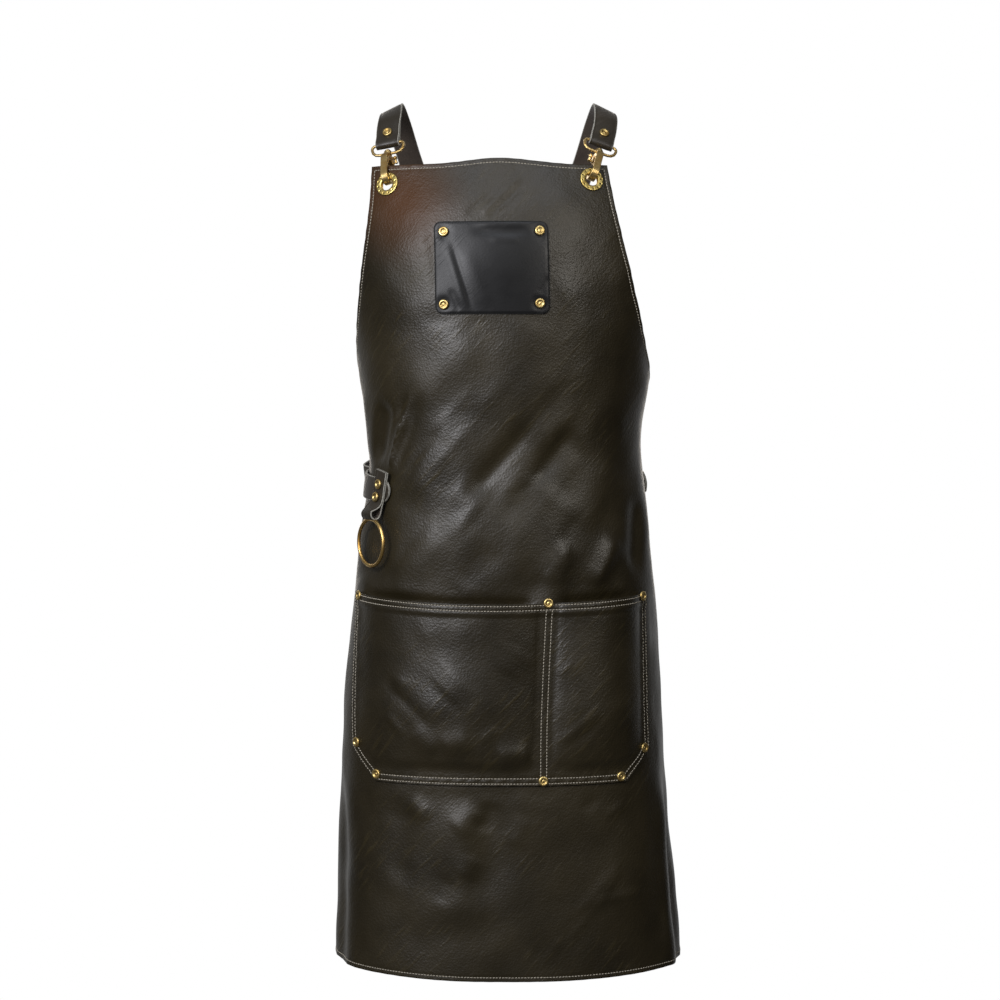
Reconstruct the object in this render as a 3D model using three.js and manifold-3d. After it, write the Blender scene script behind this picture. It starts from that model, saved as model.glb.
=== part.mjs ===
// Leather grill apron with a bib, a wide pocket, crossed shoulder straps and brass hardware.
// Millimetres, +Z up, the apron's front faces -Y. The origin lies midway between the two straps
// where they rest on the shoulders. Places on the leather are given in its flat cut: across from
// the centre line, and down from the shoulder rest.
import * as THREE from 'three';
import { mergeVertices } from 'three/addons/utils/BufferGeometryUtils.js';
import Module from 'manifold-3d';

const wasm = await Module();
wasm.setup();

// Leather thicknesses and clearances
const APRON_LEATHER = 1.6;
const HEM_LEATHER = 1.2;
const HEM_TURN = 6.5;
const HEM_STEP = 0.6;
const POCKET_LEATHER = 1.5;
const PATCH_LEATHER = 1.5;
const STRAP_LEATHER = 2.4;
const TAB_LEATHER = 1.6;
const GAP = 0.35;
const SEAM_GAP = 0.6;
const BACK_GAP = 0.95;
const HIP_GAP = 1.5;

// The flat cut of the apron
const BIB_TOP = 66;
const BIB_RISE = 6.5;
const BIB_RISE_CENTRE = 14;
const BIB_RISE_SPREAD = 48;
const HEM = 919;
const HEM_END_RISE = 6;
const HEM_RISE_REACH = 240;
const APRON_COLUMNS = 27;
const APRON_ROWS = 33;
const CUT = [
  { down: 60, half: 128 },
  { down: 102, half: 134 },
  { down: 131, half: 141 },
  { down: 161, half: 149 },
  { down: 188, half: 157 },
  { down: 212, half: 166 },
  { down: 240, half: 179 },
  { down: 262, half: 194 },
  { down: 280, half: 214 },
  { down: 300, half: 241 },
  { down: 322, half: 258 },
  { down: 352, half: 264 },
  { down: 600, half: 271 },
  { down: 919, half: 280 },
];

// Sections of the draped form: half width, half depth, axis, and how far the cut's centre line
// has slid round the form
const FLATNESS = 2.2;
const FORM = [
  { down: 60, halfWidth: 166, halfDepth: 89, axisX: 3, slide: -15 },
  { down: 123, halfWidth: 172, halfDepth: 111, axisX: 4, slide: -12 },
  { down: 193, halfWidth: 169, halfDepth: 118, axisX: 6, slide: -12 },
  { down: 283, halfWidth: 157, halfDepth: 117, axisX: 7, slide: -12 },
  { down: 358, halfWidth: 148, halfDepth: 112, axisX: 7, slide: -12 },
  { down: 423, halfWidth: 153, halfDepth: 111, axisX: 7, slide: -12 },
  { down: 517, halfWidth: 162, halfDepth: 115, axisX: 7, slide: -10 },
  { down: 641, halfWidth: 172, halfDepth: 119, axisX: 5, slide: -6 },
  { down: 707, halfWidth: 175, halfDepth: 120, axisX: 6, slide: -4 },
  { down: 816, halfWidth: 181, halfDepth: 121, axisX: 9, slide: -2 },
  { down: 919, halfWidth: 188, halfDepth: 122, axisX: 12, slide: 0 },
];

// Folds: a ridge (height above 0) or a valley along a line in the flat cut
const FOLDS = [
  { name: 'hip crease', across: [-127, -98], down: [390, 322], width: 8, height: 3.8 },
  { name: 'hip pleat', across: [-152, -122], down: [384, 310], width: 12, height: -7 },
  { name: 'hip side swell', across: [-186, -172], down: [380, 300], width: 16, height: 1.5 },
  { name: 'hip press', across: [-262, -96], down: [396, 416], width: 40, height: -3 },
  { name: 'hip second ridge', across: [-92, -38], down: [430, 319], width: 24, height: 3 },
  { name: 'ring hollow', across: [-146, -152], down: [428, 512], width: 26, height: -5 },
  { name: 'belly pull', across: [-80, 88], down: [478, 284], width: 10, height: -1.2 },
  { name: 'belly valley', across: [-28, 44], down: [420, 334], width: 11, height: -2.8 },
  { name: 'belly hollow', across: [-15, 57], down: [432, 346], width: 30, height: -2.8 },
  { name: 'belly ridge', across: [-10, 94], down: [444, 312], width: 8, height: 1 },
  { name: 'belly second pull', across: [0, 112], down: [452, 306], width: 9, height: -1 },
  { name: 'belly second valley', across: [42, 88], down: [404, 340], width: 10, height: -2.8 },
  { name: 'belly second hollow', across: [55, 101], down: [416, 352], width: 26, height: -2.3 },
  { name: 'belly right ridge', across: [84, 138], down: [446, 374], width: 16, height: 2 },
  { name: 'belly swell', across: [-60, 50], down: [440, 440], width: 45, height: 3 },
  { name: 'lower left ridge', across: [-100, -36], down: [506, 426], width: 17, height: 1.2 },
  { name: 'lower left valley', across: [-128, -84], down: [512, 454], width: 8, height: -2.5 },
  { name: 'lower middle valley', across: [-40, 4], down: [509, 464], width: 16, height: -3.6 },
  { name: 'mouth ridge', across: [50, 82], down: [509, 460], width: 9, height: 3 },
  { name: 'mouth side ridge', across: [104, 138], down: [511, 452], width: 12, height: 4.5 },
  { name: 'right side valley', across: [177, 159], down: [410, 500], width: 13, height: -5 },
  { name: 'right side swell', across: [212, 206], down: [430, 540], width: 22, height: 1 },
  { name: 'bib top crease', across: [-4, 46], down: [120, 84], width: 7, height: -0.8 },
  { name: 'bib left swell', across: [-104, -70], down: [130, 240], width: 34, height: 2.5 },
  { name: 'bib lower band', across: [-98, -12], down: [322, 242], width: 22, height: 2.5 },
  { name: 'skirt left ridge', across: [-39, -51], down: [724, 880], width: 24, height: 4 },
  { name: 'skirt left valley', across: [-10, -24], down: [724, 850], width: 20, height: -3.5 },
  { name: 'skirt outer valley', across: [-104, -116], down: [724, 830], width: 18, height: -3 },
  { name: 'skirt slant crease', across: [69, 131], down: [855, 795], width: 6, height: 1 },
  { name: 'skirt left hollow', across: [-214, -212], down: [700, 960], width: 16, height: -5 },
  { name: 'skirt left flute', across: [-252, -250], down: [660, 960], width: 22, height: 2.5 },
  { name: 'skirt right flute', across: [196, 194], down: [700, 960], width: 14, height: 4 },
  { name: 'skirt right hollow', across: [217, 214], down: [700, 960], width: 13, height: -5 },
];
const FOLD_FADE = 0.28;

// Pocket: places in the flat cut
const POCKET = { leftTop: -178, leftFoot: -174, rightTop: 178.5, rightFoot: 174.5 };
const POCKET_TOP = 518;
const POCKET_SAG = 7;
const POCKET_FOOT = 714;
const POCKET_CHAMFER = { across: 36, down: 34 };
const POCKET_SEAM = 14;
const POCKET_DIVIDER_SEAM = 9;
const POCKET_DIVIDER = { top: 56, foot: 45 };
const POCKET_STAND_OFF = 11;
const POCKET_MOUTH_HEM = 14;
const POCKET_COLUMNS = { left: 13, right: 7 };
const POCKET_ROWS = 10;

// Chest patch
const PATCH_HALF = 59.5;
const PATCH_TOP = 127.5;
const PATCH_HEIGHT = 96;
const PATCH_CORNER = 8;
const PATCH_STAND_OFF = 1.6;

// Rivets: capped ring with a dimple, a post through the leather and a burr behind it
const RIVET = { cap: 5.3, capHeight: 1.9, post: 1.7, burr: 4.3, burrHeight: 0.9, dimple: 2.1 };
const RIVET_HOLE = 2.1;
const RIVET_SIDES = 9;
const PATCH_RIVETS = [
  { across: -49, down: 138.5 },
  { across: 50.5, down: 137.5 },
  { across: -50.5, down: 213.5 },
  { across: 49, down: 212.5 },
];
const POCKET_RIVETS = [
  { across: -166, down: 521.5 },
  { across: 55, down: 524 },
  { across: 169.5, down: 521 },
  { across: -165, down: 676 },
  { across: -136, down: 706.5 },
  { across: 45, down: 709 },
  { across: 131, down: 708 },
  { across: 165.5, down: 681 },
];

// Eyelets in the bib's corners
const EYELET = { hole: 6.8, barrel: 7.8, flange: 12.8, flangeHeight: 1.2, lip: 9.2, lipHeight: 0.9 };
const EYELET_LEATHER_HOLE = 8.2;
const EYELET_SIDES = 18;
const EYELETS = [
  { side: 'left', across: -110, down: 86 },
  { side: 'right', across: 110, down: 82 },
];

// Snap hooks: a bent bar through the eyelet, a gate behind the bib and a swivelling strap loop.
// Heights run up from the bar in the eyelet, depths out from the middle of the leather.
const SNAP = {
  width: 7.6,
  bar: 3.2,
  throat: 5.6,
  throatDepth: 0.4,
  throatHeight: 7.3,
  noseTop: 11,
  hinge: 28,
  shoulder: 26,
  top: 34.5,
  topHalf: 4.6,
  hole: -2.5,
  stem: 2.1,
  head: 3.6,
};
const GATE = { half: 2, bar: 2.4, knuckle: 2.3, pin: 1, pinReach: 7.8, thumb: 2.3, slack: 0.4 };
const LOOP = { half: 17.5, height: 13, topCorner: 3.5, footCorner: 8, wire: 1.65, boss: 4.4, bossHeight: 4 };
const LOOP_BASE = SNAP.top + GAP + LOOP.bossHeight / 2;
const LOOP_BAR = LOOP_BASE + LOOP.height;
const SNAP_LEANS = {
  left: { aside: -2, back: 11, barRise: 0.28 },
  right: { aside: 21, back: 12, barRise: -0.25 },
};
const BAR_SWEEP = 0.7;

// Straps: one table for both, mirrored; x is on the strap's own side of the neck
const STRAP_WIDTH = 26;
const STRAP_RIVET_HEIGHT = 14;
const STRAP_FLAP = 32;
const STRAP_CROSS_LIFT = 4.2;
const STRAP_STEPS = 2;
const STRAP_ROUTE = [
  { x: 115.5, y: -26, z: -11, nx: 0.3, ny: -0.6, nz: 0.75 },
  { x: 114, y: 6, z: 1.2, nx: 0.45, ny: 0.02, nz: 0.9 },
  { x: 108, y: 42, z: -13, nx: 0.35, ny: 0.55, nz: 0.76 },
  { x: 96, y: 73, z: -52, nx: 0.25, ny: 0.83, nz: 0.5 },
  { x: 76, y: 95, z: -105, nx: 0.18, ny: 0.95, nz: 0.26 },
  { x: 48, y: 109, z: -165, nx: 0.1, ny: 0.98, nz: 0.12 },
  { x: 12, y: 117, z: -228, nx: 0.02, ny: 1, nz: 0.03 },
  { x: -28, y: 118, z: -286, nx: -0.08, ny: 1, nz: 0 },
  { x: -72, y: 111, z: -339, nx: -0.33, ny: 0.94, nz: 0 },
  { x: -114, y: 90, z: -377, nx: -0.62, ny: 0.78, nz: 0 },
  { x: -146, y: 58, z: -396, nx: -0.86, ny: 0.5, nz: 0 },
];
const STRAP_CROSS = { from: 5, to: 8 };
const HIP_ENDS = {
  left: { from: { across: -230, down: 400 }, to: { across: -129, down: 409 }, steps: 6 },
  right: { from: { across: 263, down: 402 }, to: { across: 250, down: 403 }, steps: 1 },
};
const HIP_RIVETS = {
  left: [
    { across: -128.5, down: 402 },
    { across: -133, down: 416 },
  ],
  right: [
    { across: 251.5, down: 396.5 },
    { across: 250.5, down: 409.5 },
  ],
};

// Towel ring and the folded tab that carries it
const RING = { radius: 27.5, wire: 2.1, segments: 36, sides: 8 };
const RING_PLACE = { across: -138, down: 433, standOff: 10.5 };
const TAB_WIDTH = 20;
const TAB_TOP = { across: -125, down: 387 };
const TAB_FOLD_SPACE = 2.6;

const APRON_BLACK = new THREE.MeshStandardMaterial({ color: '#2b2823', roughness: 0.5, metalness: 0 });
const PATCH_BLACK = new THREE.MeshStandardMaterial({ color: '#2d2e30', roughness: 0.4, metalness: 0 });
const STRAP_BLACK = new THREE.MeshStandardMaterial({ color: '#33302a', roughness: 0.5, metalness: 0 });
const BRASS = new THREE.MeshStandardMaterial({ color: '#b98f3e', roughness: 0.35, metalness: 1 });

const apron = new THREE.Group();

// Small helpers

function vector(x, y, z) {
  return new THREE.Vector3(x, y, z);
}

function smoothStep(t) {
  const clamped = Math.min(Math.max(t, 0), 1);
  return clamped * clamped * (3 - 2 * clamped);
}

function bell(t) {
  return Math.exp(-t * t);
}

// Smooth value of a table's column at a height down the apron
function columnAt(rows, column, down) {
  const last = rows.length - 1;
  let i = 0;
  while (i < last - 1 && down > rows[i + 1].down) {
    i += 1;
  }
  const slope = (k) => {
    const above = rows[Math.max(k - 1, 0)];
    const below = rows[Math.min(k + 1, last)];
    return (below[column] - above[column]) / (below.down - above.down);
  };
  const span = rows[i + 1].down - rows[i].down;
  const t = Math.min(Math.max((down - rows[i].down) / span, 0), 1);
  const start = rows[i][column];
  const end = rows[i + 1][column];
  const rise = t * t * (3 - 2 * t);
  const bend = t * (1 - t) * (1 - t) * slope(i) - t * t * (1 - t) * slope(i + 1);
  return start + (end - start) * rise + span * bend;
}

// The draped surface

function formPoint(across, down) {
  const halfWidth = columnAt(FORM, 'halfWidth', down);
  const halfDepth = columnAt(FORM, 'halfDepth', down);
  const axisX = columnAt(FORM, 'axisX', down);
  const target = across + columnAt(FORM, 'slide', down);
  const side = Math.sign(target) || 1;
  const section = (angle) => {
    const sine = Math.sin(angle) ** (2 / FLATNESS);
    const cosine = Math.sign(Math.cos(angle)) * Math.abs(Math.cos(angle)) ** (2 / FLATNESS);
    return new THREE.Vector2(halfWidth * sine, -halfDepth * cosine);
  };
  const step = THREE.MathUtils.degToRad(1);
  let walked = 0;
  let here = section(0);
  for (let angle = step; angle < Math.PI; angle += step) {
    const next = section(angle);
    const length = next.distanceTo(here);
    if (walked + length >= Math.abs(target)) {
      here = here.clone().lerp(next, (Math.abs(target) - walked) / length);
      break;
    }
    walked += length;
    here = next;
  }
  return vector(axisX + side * here.x, here.y, -down);
}

function normalOf(surface, across, down) {
  const reach = 3;
  const alongDown = surface(across, down + reach).sub(surface(across, down - reach));
  const alongAcross = surface(across + reach, down).sub(surface(across - reach, down));
  return alongDown.cross(alongAcross).normalize();
}

function foldHeight(across, down) {
  let total = 0;
  for (const fold of FOLDS) {
    const along = new THREE.Vector2(fold.across[1] - fold.across[0], fold.down[1] - fold.down[0]);
    const from = new THREE.Vector2(across - fold.across[0], down - fold.down[0]);
    const t = from.dot(along) / along.lengthSq();
    const aside = Math.abs(from.cross(along)) / along.length();
    const fade = smoothStep(t / FOLD_FADE) * smoothStep((1 - t) / FOLD_FADE);
    total += fold.height * fade * bell(aside / fold.width);
  }
  return total;
}

function drape(across, down) {
  const normal = normalOf(formPoint, across, down);
  return formPoint(across, down).addScaledVector(normal, foldHeight(across, down));
}

// A place on the leather, some way out of its outer face, with the directions there
function placeOn(across, down, out) {
  const normal = normalOf(drape, across, down);
  const upward = drape(across, down - 3).sub(drape(across, down + 3)).normalize();
  const point = drape(across, down).addScaledVector(normal, out);
  return { point, normal, upward };
}

// Solids from rings of points and from two faces of a wall

function geometryFrom(points, triangles) {
  const geometry = new THREE.BufferGeometry();
  const positions = new Float32Array(points.length * 3);
  points.forEach((point, k) => point.toArray(positions, k * 3));
  geometry.setAttribute('position', new THREE.BufferAttribute(positions, 3));
  geometry.setIndex(triangles);
  geometry.computeVertexNormals();
  return geometry;
}

function facingOut(points, triangles) {
  let volume = 0;
  for (let k = 0; k < triangles.length; k += 3) {
    const [a, b, c] = [points[triangles[k]], points[triangles[k + 1]], points[triangles[k + 2]]];
    volume += a.dot(b.clone().cross(c));
  }
  if (volume < 0) {
    triangles.reverse();
  }
  return geometryFrom(points, triangles);
}

// Joins rings of points, in order, into one closed solid, as a rod or as a closed loop
function loft(rings, isLoop) {
  const size = rings[0].length;
  const points = rings.flat();
  const triangles = [];
  const spans = isLoop ? rings.length : rings.length - 1;
  for (let i = 0; i < spans; i += 1) {
    const here = i * size;
    const next = ((i + 1) % rings.length) * size;
    for (let k = 0; k < size; k += 1) {
      const m = (k + 1) % size;
      triangles.push(here + k, next + k, next + m, here + k, next + m, here + m);
    }
  }
  if (!isLoop) {
    const end = (rings.length - 1) * size;
    for (let k = 1; k < size - 1; k += 1) {
      triangles.push(0, k, k + 1, end, end + k + 1, end + k);
    }
  }
  return facingOut(points, triangles);
}

// A leather wall between an outer and an inner grid of points, with its rim closed
function wall(outer, inner) {
  const rows = outer.length;
  const columns = outer[0].length;
  const points = [...outer.flat(), ...inner.flat()];
  const inward = rows * columns;
  const triangles = [];
  const at = (r, c) => r * columns + c;
  for (let r = 0; r < rows - 1; r += 1) {
    for (let c = 0; c < columns - 1; c += 1) {
      const [a, b, d, e] = [at(r, c), at(r + 1, c), at(r + 1, c + 1), at(r, c + 1)];
      const isFalling = points[a].distanceTo(points[d]) < points[b].distanceTo(points[e]);
      const cell = isFalling ? [a, b, d, a, d, e] : [a, b, e, b, d, e];
      triangles.push(...cell);
      triangles.push(...cell.map((k) => inward + k).reverse());
    }
  }
  const rim = [];
  for (let c = 0; c < columns; c += 1) {
    rim.push(at(0, c));
  }
  for (let r = 1; r < rows; r += 1) {
    rim.push(at(r, columns - 1));
  }
  for (let c = columns - 2; c >= 0; c -= 1) {
    rim.push(at(rows - 1, c));
  }
  for (let r = rows - 2; r > 0; r -= 1) {
    rim.push(at(r, 0));
  }
  rim.forEach((p, k) => {
    const q = rim[(k + 1) % rim.length];
    triangles.push(p, q, inward + q, p, inward + q, inward + p);
  });
  return facingOut(points, triangles);
}

// A flat band along stations { point, normal, width }
function band(stations, thickness) {
  const rings = stations.map((station, k) => {
    const before = stations[Math.max(k - 1, 0)].point;
    const after = stations[Math.min(k + 1, stations.length - 1)].point;
    const along = after.clone().sub(before).normalize();
    const aside = along.clone().cross(station.normal).normalize();
    const out = aside.clone().cross(along).normalize();
    const corner = (a, b) => station.point.clone()
      .addScaledVector(aside, a * station.width / 2)
      .addScaledVector(out, b * thickness / 2);
    return [corner(-1, -1), corner(1, -1), corner(1, 1), corner(-1, 1)];
  });
  return loft(rings, false);
}

// Booleans

function solidOf(geometry) {
  const bare = geometry.clone();
  bare.deleteAttribute('normal');
  bare.deleteAttribute('uv');
  const merged = mergeVertices(bare, 1e-4);
  const vertProperties = new Float32Array(merged.attributes.position.array);
  const triVerts = new Uint32Array(merged.index.array);
  return new wasm.Manifold(new wasm.Mesh({ numProp: 3, vertProperties, triVerts }));
}

function geometryOf(solid) {
  const { vertProperties, triVerts, numProp } = solid.getMesh();
  const points = [];
  for (let k = 0; k < vertProperties.length; k += numProp) {
    points.push(vector(vertProperties[k], vertProperties[k + 1], vertProperties[k + 2]));
  }
  return geometryFrom(points, Array.from(triVerts));
}

// A geometry made along +Z, turned and moved to a place, with its X along the given side
function placed(geometry, point, direction, side) {
  const z = direction.clone().normalize();
  const x = side.clone().addScaledVector(z, -side.dot(z)).normalize();
  const y = z.clone().cross(x);
  const turned = geometry.clone();
  turned.applyMatrix4(new THREE.Matrix4().makeBasis(x, y, z).setPosition(point));
  return turned;
}

function pierce(geometry, holes) {
  let solid = solidOf(geometry);
  for (const hole of holes) {
    solid = solid.subtract(solidOf(hole));
  }
  return geometryOf(solid);
}

function punch(place, radius, sides) {
  const cutter = new THREE.CylinderGeometry(radius, radius, 40, sides).rotateX(Math.PI / 2);
  return placed(cutter, place.point, place.normal, place.upward);
}

function add(name, geometry, material) {
  const mesh = new THREE.Mesh(geometry, material);
  mesh.name = name;
  apron.add(mesh);
}

// Rivet whose cap lies on the front face of a stack of leather
function rivetGeometry(stack) {
  const { cap, capHeight, post, burr, burrHeight, dimple } = RIVET;
  const back = -stack - BACK_GAP;
  const profile = [
    [0, back - burrHeight],
    [burr, back - burrHeight],
    [burr, back],
    [post, back],
    [post, GAP],
    [cap, GAP],
    [cap * 0.85, GAP + capHeight],
    [dimple, GAP + capHeight],
    [0, GAP + capHeight * 0.45],
  ];
  const points = profile.map(([r, h]) => new THREE.Vector2(r, h));
  return new THREE.LatheGeometry(points, RIVET_SIDES).rotateX(Math.PI / 2);
}

function addRivet(name, across, down, frontFace, stack) {
  const place = placeOn(across, down, frontFace);
  add(name, placed(rivetGeometry(stack), place.point, place.normal, place.upward), BRASS);
}

// Apron body

function cutPoint(across, nominal) {
  const t = (nominal - BIB_TOP) / (HEM - BIB_TOP);
  const rise = BIB_RISE * bell((across - BIB_RISE_CENTRE) / BIB_RISE_SPREAD);
  const hemRise = HEM_END_RISE * (across / HEM_RISE_REACH) ** 2;
  return nominal - rise * (1 - t) ** 8 - hemRise * t ** 8;
}

// Places from one end to the other with the turned hem's edges among them
function hemmedPlaces(start, end, count) {
  const inner = HEM_TURN + HEM_STEP;
  const places = [start, start + HEM_TURN];
  for (let k = 0; k <= count; k += 1) {
    places.push(start + inner + (end - start - 2 * inner) * k / count);
  }
  places.push(end - HEM_TURN, end);
  return places;
}

function apronBody() {
  const downs = hemmedPlaces(BIB_TOP, HEM, APRON_ROWS);
  const outer = [];
  const inner = [];
  downs.forEach((nominal, r) => {
    const half = columnAt(CUT, 'half', nominal);
    const acrosses = hemmedPlaces(-half, half, APRON_COLUMNS);
    const isHemRow = r < 2 || r > downs.length - 3;
    const outerRow = [];
    const innerRow = [];
    acrosses.forEach((across, c) => {
      const isHem = isHemRow || c < 2 || c > acrosses.length - 3;
      const down = cutPoint(across, nominal);
      const thickness = APRON_LEATHER + (isHem ? HEM_LEATHER : 0);
      outerRow.push(drape(across, down));
      innerRow.push(placeOn(across, down, -thickness).point);
    });
    outer.push(outerRow);
    inner.push(innerRow);
  });
  const rivets = [...PATCH_RIVETS, ...POCKET_RIVETS, ...HIP_RIVETS.left, ...HIP_RIVETS.right];
  const holes = rivets.map(({ across, down }) => punch(placeOn(across, down, 0), RIVET_HOLE, 8));
  for (const { across, down } of EYELETS) {
    holes.push(punch(placeOn(across, down, 0), EYELET_LEATHER_HOLE, EYELET_SIDES));
  }
  add('apron_body', pierce(wall(outer, inner), holes), APRON_BLACK);
}

// Pocket panel: sewn down round its sides, foot and divider, and standing off between them

function pocketEdges(t) {
  const left = POCKET.leftTop + (POCKET.leftFoot - POCKET.leftTop) * t;
  const right = POCKET.rightTop + (POCKET.rightFoot - POCKET.rightTop) * t;
  const divider = POCKET_DIVIDER.top + (POCKET_DIVIDER.foot - POCKET_DIVIDER.top) * t;
  return { left, right, divider };
}

function pocketStandOff(across, t) {
  const { left, right, divider } = pocketEdges(t);
  const isLeft = across < divider;
  const from = isLeft ? left + POCKET_SEAM : divider + POCKET_DIVIDER_SEAM;
  const to = isLeft ? divider - POCKET_DIVIDER_SEAM : right - POCKET_SEAM;
  const aside = (across - from) / (to - from);
  if (aside <= 0 || aside >= 1) {
    return 0;
  }
  const height = (POCKET_FOOT - POCKET_TOP) * (1 - t);
  const rise = smoothStep((height - POCKET_SEAM) / 70);
  return POCKET_STAND_OFF * Math.sin(Math.PI * aside) ** 0.8 * rise;
}

function pocketPlaces(t) {
  const { left, right, divider } = pocketEdges(t);
  const from = left + POCKET_SEAM;
  const to = right - POCKET_SEAM;
  const places = [left];
  for (let k = 0; k <= POCKET_COLUMNS.left; k += 1) {
    places.push(from + (divider - POCKET_DIVIDER_SEAM - from) * k / POCKET_COLUMNS.left);
  }
  places.push(divider);
  const start = divider + POCKET_DIVIDER_SEAM;
  for (let k = 0; k <= POCKET_COLUMNS.right; k += 1) {
    places.push(start + (to - start) * k / POCKET_COLUMNS.right);
  }
  places.push(right);
  return places;
}

// Block that cuts a lower corner of the pocket off along its chamfer
function pocketCorner(edge, inward) {
  const size = 90;
  const high = placeOn(edge, POCKET_FOOT - POCKET_CHAMFER.down, 0);
  const low = placeOn(edge + inward * POCKET_CHAMFER.across, POCKET_FOOT, 0);
  const along = high.point.clone().sub(low.point).normalize();
  const out = high.normal.clone().add(low.normal).normalize();
  const away = along.clone().cross(out).multiplyScalar(-inward).normalize();
  const middle = high.point.clone().add(low.point).multiplyScalar(0.5).addScaledVector(away, size / 2);
  return placed(new THREE.BoxGeometry(size, size, size), middle, out, along);
}

function pocketPanel() {
  const outer = [];
  const inner = [];
  const height = POCKET_FOOT - POCKET_TOP;
  const mouth = POCKET_MOUTH_HEM / height;
  const steps = [0, mouth, mouth + 0.01];
  for (let k = 1; k <= POCKET_ROWS; k += 1) {
    steps.push(mouth + 0.01 + (1 - mouth - 0.01) * k / POCKET_ROWS);
  }
  steps.forEach((t, r) => {
    const thickness = POCKET_LEATHER + (r < 2 ? HEM_LEATHER : 0);
    const outerRow = [];
    const innerRow = [];
    for (const across of pocketPlaces(t)) {
      const { left, right } = pocketEdges(0);
      const middle = Math.sin(Math.PI * Math.min(Math.max((across - left) / (right - left), 0), 1));
      const down = POCKET_TOP + height * t + POCKET_SAG * middle * (1 - t) ** 3;
      const stand = SEAM_GAP + pocketStandOff(across, t);
      outerRow.push(placeOn(across, down, stand + thickness).point);
      innerRow.push(placeOn(across, down, stand).point);
    }
    outer.push(outerRow);
    inner.push(innerRow);
  });
  const holes = POCKET_RIVETS.map(({ across, down }) => punch(placeOn(across, down, 0), RIVET_HOLE, 8));
  holes.push(pocketCorner(POCKET.leftFoot, 1), pocketCorner(POCKET.rightFoot, -1));
  add('pocket_panel', pierce(wall(outer, inner), holes), APRON_BLACK);
}

// Chest patch, held by its corners and slack between them

function chestPatch() {
  const outer = [];
  const inner = [];
  const downs = [0, 2.4, 5.2, PATCH_CORNER];
  const middleRows = 6;
  for (let k = 1; k <= middleRows; k += 1) {
    downs.push(PATCH_CORNER + (PATCH_HEIGHT - 2 * PATCH_CORNER) * k / middleRows);
  }
  downs.push(PATCH_HEIGHT - 5.2, PATCH_HEIGHT - 2.4, PATCH_HEIGHT);
  const columns = 10;
  for (const fall of downs) {
    const toEnd = Math.min(fall, PATCH_HEIGHT - fall, PATCH_CORNER);
    const round = PATCH_CORNER - Math.sqrt(PATCH_CORNER ** 2 - (PATCH_CORNER - toEnd) ** 2);
    const outerRow = [];
    const innerRow = [];
    for (let c = 0; c <= columns; c += 1) {
      const across = (PATCH_HALF - round) * (2 * c / columns - 1);
      const slackAcross = Math.cos(Math.PI * across / (2 * PATCH_HALF + 4));
      const slackDown = Math.sin(Math.PI * fall / PATCH_HEIGHT);
      const stand = SEAM_GAP + PATCH_STAND_OFF * slackAcross * slackDown;
      outerRow.push(placeOn(across, PATCH_TOP + fall, stand + PATCH_LEATHER).point);
      innerRow.push(placeOn(across, PATCH_TOP + fall, stand).point);
    }
    outer.push(outerRow);
    inner.push(innerRow);
  }
  const holes = PATCH_RIVETS.map(({ across, down }) => punch(placeOn(across, down, 0), RIVET_HOLE, 8));
  add('chest_patch', pierce(wall(outer, inner), holes), PATCH_BLACK);
}

// Eyelets, clinched round the leather

function eyelets() {
  const { hole, barrel, flange, flangeHeight, lip, lipHeight } = EYELET;
  const back = -APRON_LEATHER - BACK_GAP;
  const profile = [
    [hole, back - lipHeight * 0.6],
    [hole + 0.5, back - lipHeight],
    [lip - 0.4, back - lipHeight],
    [lip, back - lipHeight * 0.5],
    [lip, back],
    [barrel, back],
    [barrel, GAP],
    [flange, GAP],
    [flange, GAP + flangeHeight * 0.5],
    [flange - 1, GAP + flangeHeight],
    [hole + 0.9, GAP + flangeHeight],
    [hole, GAP + flangeHeight * 0.4],
    [hole, back - lipHeight * 0.6],
  ];
  const points = profile.map(([r, h]) => new THREE.Vector2(r, h));
  for (const { side, across, down } of EYELETS) {
    const place = placeOn(across, down, 0);
    const ring = new THREE.LatheGeometry(points, EYELET_SIDES).rotateX(Math.PI / 2);
    add(`eyelet_${side}`, placed(ring, place.point, place.normal, place.upward), BRASS);
  }
}

// Snap hooks. In a hook's own frame X is aside, Y is out from the bib and Z is up the hook.

function hookFrame(side, across, down) {
  const { aside, back } = SNAP_LEANS[side];
  const place = placeOn(across, down, -APRON_LEATHER / 2);
  const level = place.normal.clone().cross(place.upward).normalize();
  const lean = new THREE.Matrix4().makeRotationAxis(level, THREE.MathUtils.degToRad(back));
  const swing = new THREE.Matrix4().makeRotationAxis(place.normal, THREE.MathUtils.degToRad(-aside));
  const turn = swing.multiply(lean);
  const up = place.upward.clone().applyMatrix4(turn);
  const out = place.normal.clone().applyMatrix4(turn);
  const origin = place.point.clone().addScaledVector(up, -SNAP.hole);
  return new THREE.Matrix4().makeBasis(out.clone().cross(up), out, up).setPosition(origin);
}

// A side outline, drawn in out and up, given a width across the hook
function plateAcross(shape, from, to) {
  const plate = new THREE.ExtrudeGeometry(shape, { depth: to - from, bevelEnabled: false, curveSegments: 7 });
  const basis = new THREE.Matrix4().makeBasis(vector(0, 1, 0), vector(0, 0, 1), vector(1, 0, 0));
  return plate.applyMatrix4(basis.setPosition(vector(from, 0, 0)));
}

function rodAcross(radius, from, to, out, up) {
  const rod = new THREE.CylinderGeometry(radius, radius, to - from, 14).rotateZ(Math.PI / 2);
  return rod.translate((from + to) / 2, out, up);
}

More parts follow.
